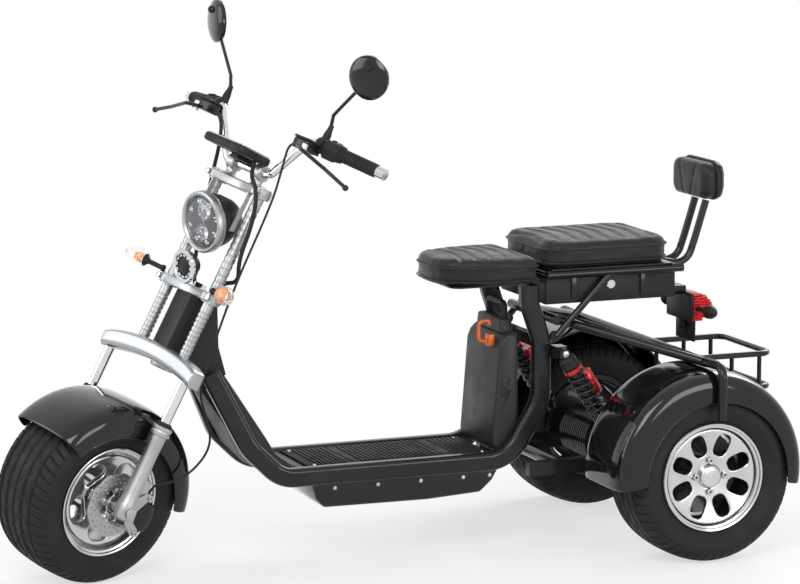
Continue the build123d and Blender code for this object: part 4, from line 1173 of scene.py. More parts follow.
class DressLamps(bpy.types.Operator):
    """Make the headlight, horn, turn signals and tail lamp"""

    bl_idname = "scooter.dress_lamps"
    bl_label = "Lamps"

    def execute(self, context):
        self.headlight()
        self.horn()
        self.front_signals()
        self.tail_lamp()
        return {"FINISHED"}

    def headlight(self):
        space = facing(92, 738)
        bucket = lathe(
            "bucket", [(-112, 0), (-112, 30), (-106, 38), (-92, 50), (-60, 66), (-40, 71), (-22, 72)], space,
            FINISH["plastic"], STEERING, 96,
        )
        bezel = lathe(
            "bezel", [(-24, 71), (-24, 77), (-18, 80), (-6, 80), (-1, 78.5), (1, 75), (0, 70), (-4, 67), (-8, 66)],
            space, FINISH["silver"], STEERING, 96,
        )
        bowl = lathe("bowl", [(-8, 66), (-30, 62), (-44, 46), (-50, 0)], space, FINISH["dark_alloy"], STEERING, 96)
        parts = [bucket, bezel, bowl]
        for z in (26, -26):
            spot = moved(space, z)
            parts.append(lathe(
                "chamber", [(-40, 0), (-40, 12), (-30, 20), (-20, 22), (-18, 24), (-22, 25), (-40, 25)], spot,
                FINISH["reflector"], STEERING, 48,
            ))
            parts.append(lathe(
                "projector", [(-36, 12), (-28, 11), (-22, 7), (-20, 0)], spot, FINISH["lens"], STEERING, 40,
            ))
        for n in range(8):
            angle = 2 * pi * (n + 0.5) / 8
            spot = moved(space, 50 * cos(angle), 0, 50 * sin(angle))
            parts.append(lathe(
                "pod", [(-40, 10), (-16, 9), (-14, 7), (-22, 3), (-24, 0)], spot, FINISH["reflector"], STEERING,
                24,
            ))
        whole = joined("headlight_bowl", *parts)
        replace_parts(whole, "headlight_shell")
        glass = lathe(
            "headlight_glass", [(-7.6, 65.5), (-4, 62), (0, 52), (3.5, 32), (5, 0)], space, FINISH["lens"],
            STEERING, 96,
        )
        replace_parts(glass, "headlight_lens")

    def horn(self):
        space = facing(75, 621)
        parts = [
            lathe(
                "horn_cup", [(-34, 0), (-34, 20), (-20, 24), (-14, 38), (-4, 42), (2, 44), (6, 42)], space,
                FINISH["plastic"], STEERING, 72,
            ),
            lathe(
                "horn_ring", [(0, 45), (5, 45), (8, 42), (8, 34), (5, 32), (2, 32)], space, FINISH["chrome"],
                STEERING, 72,
            ),
            lathe("horn_face", [(3, 33), (2, 24), (5, 20), (6, 0)], space, FINISH["plastic"], STEERING, 64),
        ]
        slits = repeated(
            "horn_slits",
            plate("slit", [rounded_box(4, 9, 1.8)], 3, Matrix.Translation((28, 4, 0)), FINISH["chrome"], STEERING, 0.6),
            12, (0, 2 * pi / 12, 0), (0, 0, 0), space, FINISH["chrome"],
        )
        whole = joined("disc_horn", *parts, slits)
        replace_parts(whole, "horn")

    def front_signals(self):
        parts = []
        for side, _ in SIDES:
            start, tip = Vector((45, side * 104, 593)), Vector((88, side * 225, 594))
            space = pointing(FORK_SPACE, start, tip)
            parts.append(lathe(
                "stalk", [(0, 0), (0, 9), (4, 9), (10, 6.5), (46, 6.5), (52, 9), (58, 14), (60, 15), (60, 0)],
                space, FINISH["rubber"], STEERING, 32,
            ))
            parts.append(lathe(
                "teardrop",
                [(60, 0), (60, 16), (66, 22), (76, 25), (88, 24), (100, 20), (112, 13), (122, 6), (126, 0)], space,
                FINISH["lens"], STEERING, 48,
            ))
            parts.append(lathe(
                "bulb_seat", [(60, 0), (60, 17), (64, 14), (62, 0)], space, FINISH["reflector"], STEERING, 40,
            ))
            parts.append(lathe(
                "bulb", [(61, 0), (61, 8), (68, 9.5), (80, 9), (90, 5.5), (93, 0)], space, FINISH["amber"],
                STEERING, 32,
            ))
        whole = joined("front_turn_signals", *parts)
        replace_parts(whole, "front_signals")

    def tail_lamp(self):
        parts = [
            block(
                "lamp_base", (behind(1690), -74, 568), (behind(1676), 74, 646), BODY_SPACE, FINISH["plastic"],
                CHASSIS, 6,
            ),
            block(
                "lamp_arm", (behind(1682), -38, 640), (behind(1594.5), 38, 664), BODY_SPACE, FINISH["frame"],
                CHASSIS, 3,
            ),
            block(
                "plate_bracket", (behind(1703), -55, 510), (behind(1697), 55, 572), BODY_SPACE, FINISH["plastic"],
                CHASSIS, 2,
            ),
            block(
                "plate_arm", (behind(1697), -12, 540), (behind(1684), 12, 600), BODY_SPACE, FINISH["plastic"],
                CHASSIS, 2,
            ),
        ]
        ribs = []
        for n in range(10):
            z = 573 + 7.4 * n
            grow = sin(pi * (n + 0.6) / 10.2) ** 0.45
            ribs.append(block(
                "lens_rib", (behind(1690 + 56 * grow), -72, z - 3.4), (behind(1688), 72, z + 3.4), BODY_SPACE,
                FINISH["red_lens"], CHASSIS, 2.6,
            ))
        parts.append(block(
            "lamp_core", (behind(1732), -68, 576), (behind(1688), 68, 640), BODY_SPACE, FINISH["red_lens"],
            CHASSIS, 8,
        ))
        for side, _ in SIDES:
            start, tip = Vector((behind(1700), side * 72, 604)), Vector((behind(1712), side * LEG_Y, 602))
            space = pointing(BODY_SPACE, start, tip)
            parts.append(lathe(
                "rear_stalk", [(0, 0), (0, 8), (8, 6), (36, 6), (42, 12), (44, 0)], space, FINISH["rubber"],
                CHASSIS, 32,
            ))
            parts.append(lathe(
                "rear_teardrop", [(42, 0), (42, 14), (52, 19), (64, 18), (76, 12), (84, 5), (87, 0)], space,
                FINISH["plastic"], CHASSIS, 40,
            ))
        whole = joined("ribbed_tail_lamp", *parts, *ribs)
        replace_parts(whole, "tail_lamp")


# Fenders


def shell_sheet(name, rows, wall, space, material, body, levels=2):
    """A thin panel lofted through rows of points, given a wall and smoothed."""
    count = len(rows[0])
    points = [p for row in rows for p in row]
    faces = []
    for row in range(len(rows) - 1):
        for n in range(count - 1):
            a = row * count + n
            faces.append((a, a + 1, a + 1 + count, a + count))
    item = mesh_piece(name, points, faces, FLAT, material, body)
    wall_maker = item.modifiers.new("wall", "SOLIDIFY")
    wall_maker.thickness = wall
    wall_maker.offset = 0
    wall_maker.use_rim = True
    applied(item)
    subdivided(item, levels)
    item.data.transform(space)
    face_outwards(item.data)
    return item


class DressFenders(bpy.types.Operator):
    """Make the three gloss fenders with their rolled edges"""

    bl_idname = "scooter.dress_fenders"
    bl_label = "Fenders"

    def execute(self, context):
        self.front()
        for side, word in SIDES:
            self.rear(side, word)
        return {"FINISHED"}

    def front(self):
        rows = []
        for step in range(37):
            angle = radians(24 + 144 * step / 36)
            row = []
            for y, r in self.front_section(step / 36):
                row.append((r * cos(angle), y, r * sin(angle)))
            rows.append(row)
        item = shell_sheet("gloss_front_fender", rows, FENDER_WALL, FRONT_HUB, FINISH["gloss"], STEERING)
        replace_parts(item, "front_fender")

    def front_section(self, along):
        """One cross-section of the front fender, from its inner edge over the crown to its outer edge."""
        half, radius = 122.0, 252.0
        skirt = 64 + 14 * sin(pi * along)
        out = []
        for y, r in (
            (-half - 2, radius - skirt), (-half - 1, radius - 34), (-half + 6, radius - 16),
            (-half + 24, radius - 3), (-half + 52, radius + 2), (-30, radius + 5),
        ):
            out.append((y, r))
        return out + [(-y, r) for y, r in reversed(out)]

    def rear(self, side, word):
        centre = Vector((behind(1544), 0, 241))
        rows = []
        for step in range(41):
            t = step / 40
            angle = radians(-6 + 196 * t)
            row = []
            for y, drop in (
                (264, 6), (274, 1), (300, 0), (350, 0), (410, 0), (440, 0.5), (462, 4), (476, 11), (484, 24),
                (486, 44), (486, 66),
            ):
                r = FENDER_RADIUS - 2 - drop
                x, z = centre.x + r * cos(angle), centre.z + r * sin(angle)
                row.append((x, side * y, z))
            rows.append(row)
        for row in rows:
            x, y, z = row[-1]
            dx, dz = x - REAR_AXLE.x, z - REAR_AXLE.z
            reach = sqrt(dx * dx + dz * dz)
            row[-1] = (REAR_AXLE.x + dx / reach * 200, y, REAR_AXLE.z + dz / reach * 200)
        item = shell_sheet(f"gloss_rear_fender_{word}", rows, FENDER_WALL, BODY_SPACE, FINISH["gloss"], CHASSIS)
        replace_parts(item, f"rear_fender_{word}")


# Body


class DressBody(bpy.types.Operator):
    """Make the leg shield, deck, belly and battery case"""

    bl_idname = "scooter.dress_body"
    bl_label = "Body"

    def execute(self, context):
        self.deck()
        self.belly()
        self.battery()
        self.shield()
        return {"FINISHED"}

    def deck(self):
        rubber = FINISH["rubber"]
        sections = ((572, 694), (698, 948), (952, 1078))
        parts = []
        for first, last in sections:
            x0, x1 = behind(last), behind(first)
            parts.append(block("mat", (x0, -113, 260.6), (x1, 113, 266), BODY_SPACE, rubber, CHASSIS, 2))
            bar = block("rib", (-3.2, -100, 265.6), (3.2, 100, 269), FLAT, rubber, CHASSIS, 1.2)
            count = int((x1 - x0 - 24) / 13)
            start = moved(BODY_SPACE, x0 + 14)
            parts.append(repeated("ribs", bar, count, (0, 0, 0), (13, 0, 0), start, rubber))
        for x in (behind(590), behind(1060)):
            for y in (-96, 96):
                place = upright(BODY_SPACE, x, y)
                parts.append(lathe(
                    "mat_screw", [(265, 0), (265, 6), (268.5, 5), (268.5, 0)], place, FINISH["bolt"], CHASSIS, 20,
                ))
        whole = joined("ribbed_mat", *parts)
        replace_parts(whole, "deck_mat")

    def belly(self):
        outline = [
            (behind(576), 231), (behind(590), 178), (behind(612), 154), (behind(901), 152), (behind(1050), 160),
            (behind(1084), 190), (behind(1108), 231),
        ]
        parts = [prism("belly", outline, -113, 113, BODY_SPACE, FINISH["gloss"], CHASSIS, 9)]
        for side, _ in SIDES:
            for distance in (640, 760, 880, 1000, 1075):
                spot = moved(BODY_SPACE, behind(distance), side * 112.5, 205)
                parts.append(lathe(
                    "belly_screw", [(0, 0), (0, 6), (side * 2, 5), (side * 2.6, 0)], spot, FINISH["bolt"], CHASSIS,
                    20,
                ))
        item = joined("gloss_belly", *parts)
        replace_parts(item, "belly_cover")

    def battery(self):
        charcoal = FINISH["charcoal"]
        outline = [
            (behind(1096), 262), (behind(1083), 290), (behind(1103), 540), (behind(1112), 562),
            (behind(1128), 578), (behind(1157), 580), (behind(1157), 300), (behind(1140), 262),
        ]
        case = prism("case", outline, -113, 113, BODY_SPACE, charcoal, CHASSIS, 9)
        handle = [(behind(1142), y, z) for y, z in ((-52, 570), (-52, 650), (52, 650), (52, 570))]
        bolt = [(-7, 30), (9, 30), (1, 6), (11, 6), (-9, -34), (-1, -6), (-12, -6)]
        flash = moved(BODY_SPACE, behind(1121), 113.2, 420)
        parts = [
            case,
            block(
                "shoulder", (behind(1154), -84, 574), (behind(1118), 84, 612), BODY_SPACE, charcoal, CHASSIS, 7,
                0.92,
            ),
            swept("case_handle", handle, ring(8, 20), BODY_SPACE, FINISH["plastic"], CHASSIS, 16),
            plate("zigzag", [[(-x * 1.3, z * 1.3) for x, z in bolt]], 1.6, flash, FINISH["frame"], CHASSIS, 0.5),
            prism(
                "case_rib", [(behind(1090), 300), (behind(1096), 300), (behind(1108), 536), (behind(1102), 536)],
                -86, 86, BODY_SPACE, charcoal, CHASSIS, 2,
            ),
        ]
        whole = joined("battery_shell", *parts)
        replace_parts(whole, "battery_case")

    def shield(self):
        rows = (
            (332, 491, 56, 37), (372, 424, 78, 36), (430, 326, 108, 35), (468, 280, 111, 30), (520, 256, 112, 20),
            (572, 246, 113, 13),
        )
        points = []
        way = Vector((-0.516, 0, -0.857))
        for number, (x, z, half, thick) in enumerate(rows):
            if number > 2:
                way = Vector((-1, 0, -0.5 / (number - 2))).normalized()
            up = Vector((0, 1, 0)).cross(way).normalized()
            for y, u in rounded_box(2 * half, 2 * thick, min(14, thick - 1), 4):
                points.append(tuple(Vector((behind(x), 0, z)) + Vector((0, y, 0)) + up * u))
        count = len(points) // len(rows)
        faces = ring_faces(len(rows), count)
        faces += [tuple(range(count)), tuple(range(len(points) - count, len(points)))]
        item = mesh_piece("gloss_leg_shield", points, faces, BODY_SPACE, FINISH["plastic"], CHASSIS)
        item.data.set_sharp_from_angle(angle=radians(50))
        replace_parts(item, "leg_shield")


# Seats


def pad_outline(kind):
    """The plan outline of a cushion in millimetres."""
    if kind == "driver":
        half = [
            (934, 0), (936, 40), (944, 74), (958, 98), (990, 118), (1030, 134), (1080, 145),
            (1140, 149), (1190, 147), (1200, 140), (1204, 120),
        ]
        return [(behind(d), y) for d, y in half] + [(behind(d), -y) for d, y in reversed(half[1:])]
    return [(behind(1400) + x, y) for x, y in rounded_box(364, 318, 58, 7)]


def cushion(name, outline, low, high, waist, material, body, crown, cap):
    """A stuffed pad: an outline filled upwards, swollen by the cloth solver and crowned."""
    count = len(outline)
    middle = Vector((sum(p[0] for p in outline) / count, sum(p[1] for p in outline) / count))
    tall = high - low
    levels = (
        (0.0, 0.93), (0.06, 0.97), (0.22, 1 - waist * 0.3), (0.45, 1 - waist), (0.68, 1 - waist * 0.2),
        (0.84, 0.985), (0.95, 0.95), (1.0, 0.9),
    )
    points = []
    for lift, grow in levels:
        points += [
            (middle.x + (x - middle.x) * grow, middle.y + (y - middle.y) * grow, low + tall * lift) for x, y in outline
        ]
    faces = ring_faces(len(levels), count)
    points += [(middle.x, middle.y, low), (middle.x, middle.y, high + crown * 0.5)]
    top = (len(levels) - 1) * count
    for n in range(count):
        faces.append(((n + 1) % count, n, len(points) - 2))
        faces.append((top + n, top + (n + 1) % count, len(points) - 1))
    item = mesh_piece(name, points, faces, BODY_SPACE, material, body)
    remesh = item.modifiers.new("even", "REMESH")
    remesh.mode = "VOXEL"
    remesh.voxel_size = 0.006
    applied(item)
    start = [v.co.copy() for v in item.data.vertices]
    cloth = item.modifiers.new("swell", "CLOTH")
    cloth.settings.use_pressure = True
    cloth.settings.uniform_pressure_force = 4
    cloth.settings.effector_weights.gravity = 0
    cloth.point_cache.frame_end = 16
    scene = bpy.context.scene
    for step in range(1, 15):
        scene.frame_set(step)
    applied(item)
    scene.frame_set(1)
    z0, z1 = low * MM, high * MM
    for vertex, before in zip(item.data.vertices, start):
        move = vertex.co - before
        if move.length > cap * MM:
            vertex.co = before + move * (cap * MM / move.length)
        vertex.co.z = max(vertex.co.z, z0)
        share = (vertex.co.z - z0) / (z1 - z0)
        if share < 0.1:
            vertex.co.z = z0 + (vertex.co.z - z0) * 0.4
    return item


def sewn(item, lines, depth, width, top):
    """Draws a cushion's skin down along its sewn lines."""
    for vertex in item.data.vertices:
        if vertex.co.z < top * MM:
            continue
        x, y = vertex.co.x / MM, vertex.co.y / MM
        near = min(line(x, y) for line in lines)
        vertex.co.z -= depth * MM * exp(-((near / width) ** 2))
        vertex.co.z += 0.35 * depth * MM * exp(-(((near - 2.4 * width) / (1.6 * width)) ** 2))
    return item


def stitches(name, item, places, body, spacing=6.0):
    """Rows of raised stitches from place to place, laid on a cushion's skin."""
    rows = []
    for (x0, y0), (x1, y1) in places:
        ends = []
        for share in (0.0, 1.0, 0.8, 0.6, 0.4):
            place = Vector((x0 + (x1 - x0) * share, y0 + (y1 - y0) * share, 1100))
            hit, spot, facing, _ = item.ray_cast(place * MM, Vector((0, 0, -1)))
            if hit and facing.z > 0.8 and len(ends) < 2:
                ends.append(spot / MM)
        if len(ends) < 2:
            continue
        way = ends[1] - ends[0]
        along = way.normalized()
        across = Vector((0, 0, 1)).cross(along).normalized()
        turn = Matrix((along, across, along.cross(across))).transposed().to_4x4()
        seed = swept(
            "stitch", [(-1.9, 0, -0.5), (0, 0, 0.9), (1.9, 0, -0.5)], ring(0.6, 6), FLAT, FINISH["thread"], body,
        )
        place = BODY_SPACE @ Matrix.Translation(ends[0]) @ turn
        rows.append(repeated(
            name, seed, int(way.length / spacing), (0, 0, 0), (spacing, 0, 0), place, FINISH["thread"],
        ))
    return rows


def piping(name, outline, z, radius, material, body):
    """A round welt that follows a cushion's outline."""
    path = [(x, y, z) for x, y in outline]
    path.append(path[0])
    return swept(name, path, ring(radius, 10), BODY_SPACE, material, body, closed_ends=False, up=(0, 0, 1))


class DressSeats(bpy.types.Operator):
    """Make the two stuffed seats with their sewn channels and welts"""

    bl_idname = "scooter.dress_seats"
    bl_label = "Seats"

    def execute(self, context):
        leather = FINISH["leather"]
        step = context.scene.scooter_sizes.channel_step / MM
        driver = cushion("driver_cushion", pad_outline("driver"), 713, 780, 0.02, leather, CHASSIS, 5, 1.8)
        lines = [lambda x, y, n=n: self.channel(x, y, behind(1176) + step * n * 1.02, 118) for n in range(5)]
        sewn(driver, lines, 4.5, 5.0, 755)
        subdivided(driver, 1)
        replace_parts(driver, "driver_seat")
        rear = cushion("passenger_cushion", pad_outline("passenger"), 751, 818, 0.012, leather, LID, 4, 2.2)
        lines = [lambda x, y, n=n: self.channel(x, y, behind(1400) + step * 1.12 * (n - 3.5), 124) for n in range(8)]
        sewn(rear, lines, 5, 5.5, 792)
        subdivided(rear, 1)
        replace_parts(rear, "passenger_seat")
        welts = [
            piping("driver_welt", pad_outline("driver"), 758, 2.2, leather, CHASSIS),
            piping("driver_low_welt", pad_outline("driver"), 722, 2.2, leather, CHASSIS),
            *stitches("driver_stitches", driver, self.seams(behind(1176), step * 1.02, 5, 104), CHASSIS),
        ]
        trim = joined("driver_piping", *welts)
        welts = [
            piping("rear_welt", pad_outline("passenger"), 798, 2.4, leather, LID),
            piping("rear_low_welt", pad_outline("passenger"), 762, 2.4, leather, LID),
            *stitches("rear_stitches", rear, self.seams(behind(1400) - step * 3.92, step * 1.12, 8, 116), LID),
        ]
        trim = joined("passenger_piping", *welts)
        self.backrest(leather)
        return {"FINISHED"}

    def seams(self, first, step, count, reach):
        """Both halves of each sewn channel, from beside its middle to near its end."""
        made = []
        for n in range(count):
            for side, _ in SIDES:
                made.append(((first + step * n + 6, side * 8), (first + step * n + 5 + 0.16 * reach, side * reach)))
        return made

    def channel(self, x, y, at, reach):
        """Distance to a cross channel that slants forward towards the sides."""
        if abs(y) > reach:
            return 99.0
        return abs(x - at - 0.16 * abs(y))

    def backrest(self, leather):
        outline = rounded_box(206, 98, 30, 6)
        item_points = []
        for depth, grow in ((0, 0.98), (6, 1.0), (20, 0.99), (30, 0.94), (36, 0.8)):
            item_points += [(behind(1735) + depth, y * grow, 950 + z * grow) for y, z in outline]
        count = len(outline)
        faces = ring_faces(5, count)
        item_points += [(behind(1735), 0, 950), (behind(1735) + 38, 0, 950)]
        for n in range(count):
            faces.append(((n + 1) % count, n, len(item_points) - 2))
            faces.append((4 * count + n, 4 * count + (n + 1) % count, len(item_points) - 1))
        cushion_item = mesh_piece("backrest_cushion", item_points, faces, BODY_SPACE, leather, CHASSIS)
        remesh = cushion_item.modifiers.new("even", "REMESH")
        remesh.mode = "VOXEL"
        remesh.voxel_size = 0.005
        applied(cushion_item)
        for vertex in cushion_item.data.vertices:
            y, z = vertex.co.y / MM, vertex.co.z / MM - 950
            near = min(abs(y - 34 - z * 0.35), abs(y + 34 + z * 0.35), abs(z) if abs(y) < 34 else 99)
            if vertex.co.x > (behind(1735) + 20) * MM:
                vertex.co.x -= 3.5 * MM * exp(-((near / 4.5) ** 2))
        subdivided(cushion_item, 1)
        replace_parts(cushion_item, "backrest_pad")
        shell_points = []
        hexagon = rounded_box(212, 104, 32, 2)
        for depth, grow in ((0, 1.0), (-6, 1.02), (-16, 0.99), (-28, 0.86), (-34, 0.66)):
            shell_points += [(behind(1735.5) + depth, y * grow, 950 + z * grow) for y, z in hexagon]
        count = len(hexagon)
        faces = ring_faces(5, count)
        faces += [tuple(range(count)), tuple(range(4 * count, 5 * count))]
        shell = mesh_piece("shell", shell_points, faces, BODY_SPACE, FINISH["plastic"], CHASSIS)
        softened(shell, 2.4, 2, 20)
        socket = block(
            "post_socket", (behind(1756), -46, 896), (behind(1730), 46, 912), BODY_SPACE, FINISH["plastic"],
            CHASSIS, 3,
        )
        whole = joined("backrest_hull", shell, socket)
        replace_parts(whole, "backrest_shell")


class DressStorage(bpy.types.Operator):
    """Make the storage box's moulded walls and its key lock"""

    bl_idname = "scooter.dress_storage"
    bl_label = "Storage box"

    def execute(self, context):
        plastic = FINISH["plastic"]
        x0, x1 = behind(1594), behind(1218)
        outer, wall = 146, 3
        walls = [
            block("left_wall", (x0, outer - wall, 655), (x1, outer, 723.5), BODY_SPACE, plastic, CHASSIS, 1.2),
            block("right_wall", (x0, -outer, 655), (x1, -outer + wall, 723.5), BODY_SPACE, plastic, CHASSIS, 1.2),
            block("rear_wall", (x0, -outer, 655), (x0 + wall, outer, 723.5), BODY_SPACE, plastic, CHASSIS, 1.2),
            block("front_wall", (x1 - wall, -outer, 655), (x1, outer, 723.5), BODY_SPACE, plastic, CHASSIS, 1.2),
            block("floor", (x0, -outer, 655), (x1, outer, 658), BODY_SPACE, plastic, CHASSIS, 1.2),
        ]
        for side, _ in SIDES:
            for x in (behind(1300), behind(1500)):
                walls.append(block(
                    "strap", (x - 9, side * (outer + 3.5) - 2.5, 668), (x + 9, side * (outer + 3.5) + 2.5, 723.4),
                    BODY_SPACE, FINISH["frame"], CHASSIS, 1.2,
                ))
        lock = moved(BODY_SPACE, behind(1405), outer, 700)
        walls.append(lathe(
            "lock_barrel", [(0, 0), (0, 13), (4, 13), (6, 11), (6, 6.5), (4.5, 6), (4.5, 0)], lock,
            FINISH["chrome"], CHASSIS, 40,
        ))
        whole = joined("moulded_storage", *walls)
        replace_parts(whole, "storage_box")
        return {"FINISHED"}


# Running gear


class DressRunningGear(bpy.types.Operator):
    """Make the shock absorbers with coil springs, the finned motor and the gearbox"""

    bl_idname = "scooter.dress_running_gear"
    bl_label = "Running gear"

    def execute(self, context):
        self.shocks(context.scene.scooter_sizes.spring_turns)
        self.motor()
        return {"FINISHED"}

    def shocks(self, turns):
        parts = []
        for side, _ in SIDES:
            top, low = Vector((behind(1248), side * 196, 532)), Vector((behind(1400), side * 196, 296))
            way = (low - top).normalized()
            across = Vector((0, 1, 0))
            turn = Matrix((across, way.cross(across), way)).transposed()
            space = BODY_SPACE @ Matrix.Translation(top) @ turn.to_4x4()
            column = space @ Matrix.Rotation(radians(90), 4, "X")
            length = (low - top).length

            def along(label, profile, finish_name, sides=40):
                return lathe(label, profile, column, FINISH[finish_name], CHASSIS, sides)

            parts.append(along(
                "body", [(14, 0), (14, 15), (60, 17), (150, 17), (152, 8), (length - 10, 8), (length - 10, 0)],
                "frame",
            ))
            parts.append(along("cap", [(12, 0), (12, 16), (18, 23), (42, 24), (46, 20), (46, 0)], "plastic"))
            parts.append(along("red_ring", [(46, 16), (46, 25.5), (56, 25.5), (58, 22), (58, 16)], "red", 48))
            parts.append(along(
                "foot",
                [
                    (length - 50, 8), (length - 46, 24), (length - 38, 24), (length - 30, 17), (length - 12, 13),
                    (length - 8, 0),
                ],
                "frame",
            ))
            seed = bpy.data.meshes.new("spring_seed")
            coil_place = moved(space, 0, 0, 60)
            parts.append(run_tree(
                "coil", TREES["coil"], seed,
                {"Turns": turns, "Radius": 22.0, "Height": length - 110, "Wire": 4.4},
                coil_place, CHASSIS, FINISH["frame"],
            ))
            for eye in (top, low):
                bolt_space = BODY_SPACE @ Matrix.Translation(eye)
                parts.append(lathe(
                    "eye", [(-11, 0), (-11, 14), (11, 14), (11, 0)], bolt_space, FINISH["frame"], CHASSIS, 32,
                ))
                parts.append(plate(
                    "eye_bolt", [circle_outline(0, 0, 8.5, 6)], 8, moved(bolt_space, 0, side * 15), FINISH["bolt"],
                    CHASSIS, 1,
                ))
            tank = moved(
                BODY_SPACE, behind(1330), side * 186, 452,
            ) @ turn.to_4x4() @ Matrix.Rotation(radians(90), 4, "X")
            parts.append(lathe(
                "tank",
                [(-34, 0), (-34, 14), (-30, 17), (-4, 17), (-2, 15), (2, 15), (4, 17), (34, 17), (38, 14), (38, 0)],
                tank, FINISH["red"], CHASSIS, 40,
            ))
            parts.append(block("tank_neck", (-10, -30, -9), (10, 0, 9), tank, FINISH["frame"], CHASSIS, 3))
        whole = joined("spring_shocks", *parts)
        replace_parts(whole, "shock_absorbers")

    def motor(self):
        dark = FINISH["frame"]
        space = moved(BODY_SPACE, behind(1430), 15, 268)
        parts = [lathe(
            "can", [(-95, 0), (-95, 40), (-92, 58), (-86, 65), (86, 65), (92, 60), (95, 46), (95, 0)], space, dark,
            CHASSIS, 72,
        )]
        fin = lathe("fin", [(-1.6, 60), (-1.6, 73), (1.6, 73), (1.6, 60)], FLAT, dark, CHASSIS, 64, closed=True)
        parts.append(repeated("fins", fin, 15, (0, 0, 0), (0, 11, 0), moved(space, 0, -77), dark))
        parts.append(wheel_bolts("motor_bolts", 50, 6, 98, 5, space, CHASSIS, FINISH["bolt"]))
        hull = []
        for n in range(40):
            angle = 2 * pi * n / 40
            if cos(angle) > 0:
                hull.append((behind(1430) + 50 * cos(angle), 268 + 56 * sin(angle)))
            else:
                hull.append((REAR_AXLE.x + 58 * cos(angle), REAR_AXLE.z + 58 * sin(angle)))
        order = sorted(hull, key=lambda p: atan2(p[1] - 250, p[0] - (behind(1500))))
        parts.append(prism("gearbox", order, -34, 34, BODY_SPACE, dark, CHASSIS, 5))
        whole = joined("finned_motor", *parts)
        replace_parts(whole, "drive_motor")


# Hoses and small trim


def routed_cord(name, points, diameter, body, material):
    """A hose or loom whose centre line is a NURBS spline through loose points."""
    curve = bpy.data.curves.new(name, "CURVE")
    curve.dimensions = "3D"
    spline = curve.splines.new("NURBS")
    spline.points.add(len(points) - 1)
    for point, place in zip(spline.points, points):
        point.co = (*place, 1)
    spline.order_u = 3
    spline.use_endpoint_u = True
    spline.resolution_u = 10
    curve.bevel_depth = diameter / 2 * MM
    curve.bevel_resolution = 4
    curve.use_fill_caps = True
    curve.materials.append(material)
    item = shown(name, curve)
    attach(item, body)
    return item


class DressCords(bpy.types.Operator):
    """Make the brake hose and the wire looms that run down the fork"""

    bl_idname = "scooter.dress_cords"
    bl_label = "Hose and looms"

    def execute(self, context):
        for name, diameter, length, route in CORDS:
            points = [FORK_SPACE @ Vector(place) for place in route]
            item = routed_cord(name, points, diameter / MM, STEERING, FINISH["rubber"])
        return {"FINISHED"}


class DressTrim(bpy.types.Operator):
    """Give the remaining pieces their finish, and make the bag hook and the lid's knuckles"""

    bl_idname = "scooter.dress_trim"
    bl_label = "Frame finishes, hook and knuckles"

    def execute(self, context):
        kept = dict(
            steering_stem="chrome", handlebar="chrome", brake_levers="frame", lamp_bracket="silver",
            frame_rails="frame", seat_pan="frame", seat_frame="frame", fender_tubes="frame",
            swingarm="frame", luggage_rack="frame", seat_lid="frame", neck_cover="plastic",
        )
        for name, finish_name in kept.items():
            node = frame["nodes"][name]
            node.data.materials.clear()
            node.data.materials.append(FINISH[finish_name])
            node.data.set_sharp_from_angle(angle=radians(35))
        hook = [(behind(d), 60, z) for d, z in ((1110, 556), (1066, 552), (1066, 606), (1094, 608), (1096, 596))]
        ring_hook = swept("bag_hook", hook, ring(5, 16), BODY_SPACE, FINISH["orange"], CHASSIS, 14)
        foot = block(
            "hook_foot", (behind(1106), 47, 540), (behind(1088), 73, 572), BODY_SPACE, FINISH["orange"], CHASSIS,
            3,
        )
        joined("orange_bag_hook", ring_hook, foot)
        knuckles = []
        for distance in (1290, 1510):
            spot = moved(BODY_SPACE, behind(distance), -173, 746) @ Matrix.Rotation(radians(-90), 4, "Z")
            knuckles.append(lathe(
                "knuckle", [(-24, 0), (-24, 4.6), (24, 4.6), (24, 0)], spot, FINISH["frame"], CHASSIS, 24,
            ))
        joined("lid_knuckles", *knuckles)
        return {"FINISHED"}


